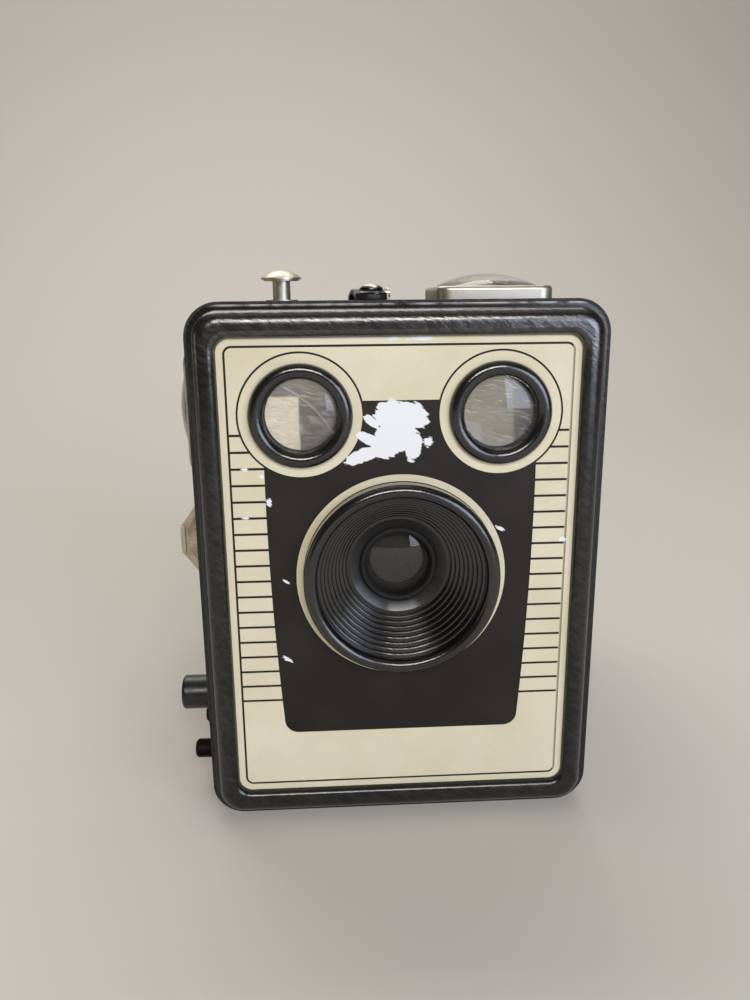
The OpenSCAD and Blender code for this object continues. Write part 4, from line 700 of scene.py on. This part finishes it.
bpy.ops.object.select_all(action="DESELECT")
bpy.ops.mesh.primitive_plane_add(size=strap_w, location=(middle.x, low.y + END / 2, low.z))
strap = bpy.context.object
strap.name = "carrying_strap"
bpy.ops.object.mode_set(mode="EDIT")
bpy.ops.transform.resize(value=(1, END / strap_w, 1), center_override=strap.location)
bpy.ops.object.mode_set(mode="OBJECT")
bpy.ops.object.transform_apply(location=True)
points = strap.data.vertices
select_edges(strap.data, lambda edge: all(points[i].co.y > low.y + END / 2 for i in edge.vertices))
bpy.ops.object.mode_set(mode="EDIT")
bpy.ops.mesh.select_mode(type="EDGE")
span = high.y - low.y - 2 * END
stations = [low.y + END + span * i / STATIONS for i in range(STATIONS + 1)] + [high.y]
for here, there in zip(stations, stations[1:]):
    step = (0, there - here, underside(there) - underside(here))
    bpy.ops.mesh.extrude_region_move(TRANSFORM_OT_translate={"value": step})
bpy.ops.mesh.select_mode(type="VERT")
bpy.ops.mesh.select_all(action="DESELECT")
bpy.ops.object.mode_set(mode="OBJECT")
print("strip of", len(strap.data.polygons), "faces, rise", round(rise / MM, 2), "mm")

# %% [markdown]
# The four corners are rounded off, as a strap end is punched, and the hide gets its thickness. The faces
# have to look up first, because Solidify thickens along them.

# %% Round ends and thickness
AT_END, END_ROUND = 0.1 * MM, 0.48
for point in strap.data.vertices:
    point.select = min(point.co.y - low.y, high.y - point.co.y) < AT_END
bpy.ops.object.mode_set(mode="EDIT")
bpy.ops.mesh.bevel(offset=END_ROUND * strap_w, segments=8, affect="VERTICES")
bpy.ops.mesh.select_all(action="SELECT")
bpy.ops.mesh.normals_make_consistent(inside=False)
bpy.ops.object.mode_set(mode="OBJECT")
if sum(face.normal.z for face in strap.data.polygons) < 0:
    bpy.ops.object.mode_set(mode="EDIT")
    bpy.ops.mesh.flip_normals()
    bpy.ops.object.mode_set(mode="OBJECT")
hide = strap.modifiers.new("hide", "SOLIDIFY")
hide.thickness = strap_t
hide.offset = 1
bpy.ops.object.modifier_apply(modifier="hide")
print("hide", round(strap_t / MM, 2), "mm thick")

# %% [markdown]
# A crease is pressed along the edge, as strap makers do to keep it from fraying: the top is inset and
# pushed down, then inset again and brought back up. A bevel takes off the sharp edges.

# %% Crease and edges
CREASE_IN, CREASE_WIDE, CREASE_DEEP, CREASE_BACK = 0.7 * MM, 0.25 * MM, 0.12 * MM, 0.9
EDGE_OFF, SHARP, SMOOTH_UNDER = 0.22 * MM, 50, 40
for face in strap.data.polygons:
    face.select = face.normal.z > 0.7
bpy.ops.object.mode_set(mode="EDIT")
bpy.ops.mesh.select_mode(type="FACE")
bpy.ops.mesh.inset(thickness=CREASE_IN, depth=-CREASE_DEEP)
bpy.ops.mesh.inset(thickness=CREASE_WIDE, depth=CREASE_DEEP * CREASE_BACK)
bpy.ops.object.mode_set(mode="OBJECT")
edges = strap.modifiers.new("edges", "BEVEL")
edges.width = EDGE_OFF
edges.segments = 3
edges.limit_method = "ANGLE"
edges.angle_limit = math.radians(SHARP)
bpy.ops.object.modifier_apply(modifier="edges")
bpy.ops.object.shade_smooth_by_angle(angle=math.radians(SMOOTH_UNDER))
strap.data.materials.append(strap_leather)
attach(strap, "camera")
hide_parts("strap")
print("strap:", len(strap.data.polygons), "faces")

# %% [markdown]
# ## The return spring
# A spring is one wire wound round a rod. A small ring of points is the wire's section, stood upright at
# the coil's radius, and the Screw modifier winds it upwards.

# %% Wound wire
WIRE, TURNS, LEAD = 0.3 * MM, 10, 1.0 * MM
WIRE_SIDES, TURN_STEPS = 10, 18
low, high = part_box("return_spring")
axis = (low + high) / 2
coil_r = (high.x - low.x) / 2 - WIRE
bpy.ops.object.select_all(action="DESELECT")
bpy.ops.mesh.primitive_circle_add(vertices=WIRE_SIDES, radius=WIRE, location=(axis.x, axis.y, low.z + LEAD))
spring = bpy.context.object
spring.name = "wound_return_spring"
bpy.ops.object.mode_set(mode="EDIT")
bpy.ops.transform.rotate(value=math.radians(90), orient_axis="X", center_override=spring.location)
bpy.ops.transform.translate(value=(coil_r, 0, 0))
bpy.ops.object.mode_set(mode="OBJECT")
winding = spring.modifiers.new("winding", "SCREW")
winding.angle = 2 * math.pi
winding.iterations = TURNS
winding.screw_offset = (high.z - low.z - 2 * LEAD) / TURNS
winding.steps = winding.render_steps = TURN_STEPS
winding.use_merge_vertices = False
bpy.ops.object.modifier_apply(modifier="winding")
bpy.ops.object.transform_apply(location=True)
print("wound", TURNS, "turns of radius", round(coil_r / MM, 2), "mm")

# %% [markdown]
# Each end of the wire is then bent upright in two steps and pulled straight to its lug. The upper end is
# held by the mechanism plate and the lower end goes down with the release.

# %% Spring ends
BEND, BEND_TURN, LESS = 1.1 * WIRE, 45, 0.45
NEAR_END, SPRING_SMOOTH = 1.2 * WIRE, 50


def draw_lead(way):
    """Turn one end of the wire upright and pull it to its lug; way is -1 below and 1 above."""
    level = (low.z + LEAD) if way < 0 else (high.z - LEAD)
    start = Vector((axis.x + coil_r, axis.y, level))
    wire = spring.data
    faces_at = {}
    for face in wire.polygons:
        for key in face.edge_keys:
            faces_at[key] = faces_at.get(key, 0) + 1

    def open_end(edge):
        near = all((wire.vertices[i].co - start).length < NEAR_END for i in edge.vertices)
        return near and faces_at.get(tuple(sorted(edge.vertices)), 0) == 1

    select_edges(wire, open_end)
    bpy.ops.object.mode_set(mode="EDIT")
    bpy.ops.mesh.select_mode(type="EDGE")
    centre = start.copy()
    for move in ((0, way * BEND, way * BEND * LESS), (0, way * BEND * LESS, way * BEND)):
        bpy.ops.mesh.extrude_region_move(TRANSFORM_OT_translate={"value": move})
        centre += Vector(move)
        bpy.ops.transform.rotate(value=math.radians(-BEND_TURN), orient_axis="X", center_override=centre)
    rest = (high.z if way > 0 else low.z) - centre.z
    bpy.ops.mesh.extrude_region_move(TRANSFORM_OT_translate={"value": (0, 0, rest)})
    bpy.ops.mesh.edge_face_add()
    bpy.ops.object.mode_set(mode="OBJECT")


draw_lead(-1)
draw_lead(1)
bpy.ops.object.mode_set(mode="EDIT")
bpy.ops.mesh.select_all(action="SELECT")
bpy.ops.mesh.normals_make_consistent(inside=False)
bpy.ops.object.mode_set(mode="OBJECT")
bpy.ops.object.shade_smooth_by_angle(angle=math.radians(SPRING_SMOOTH))
spring.data.materials.append(steel)
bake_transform(spring)
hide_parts("return_spring")
print("spring:", len(spring.data.polygons), "faces,", TURNS, "turns")
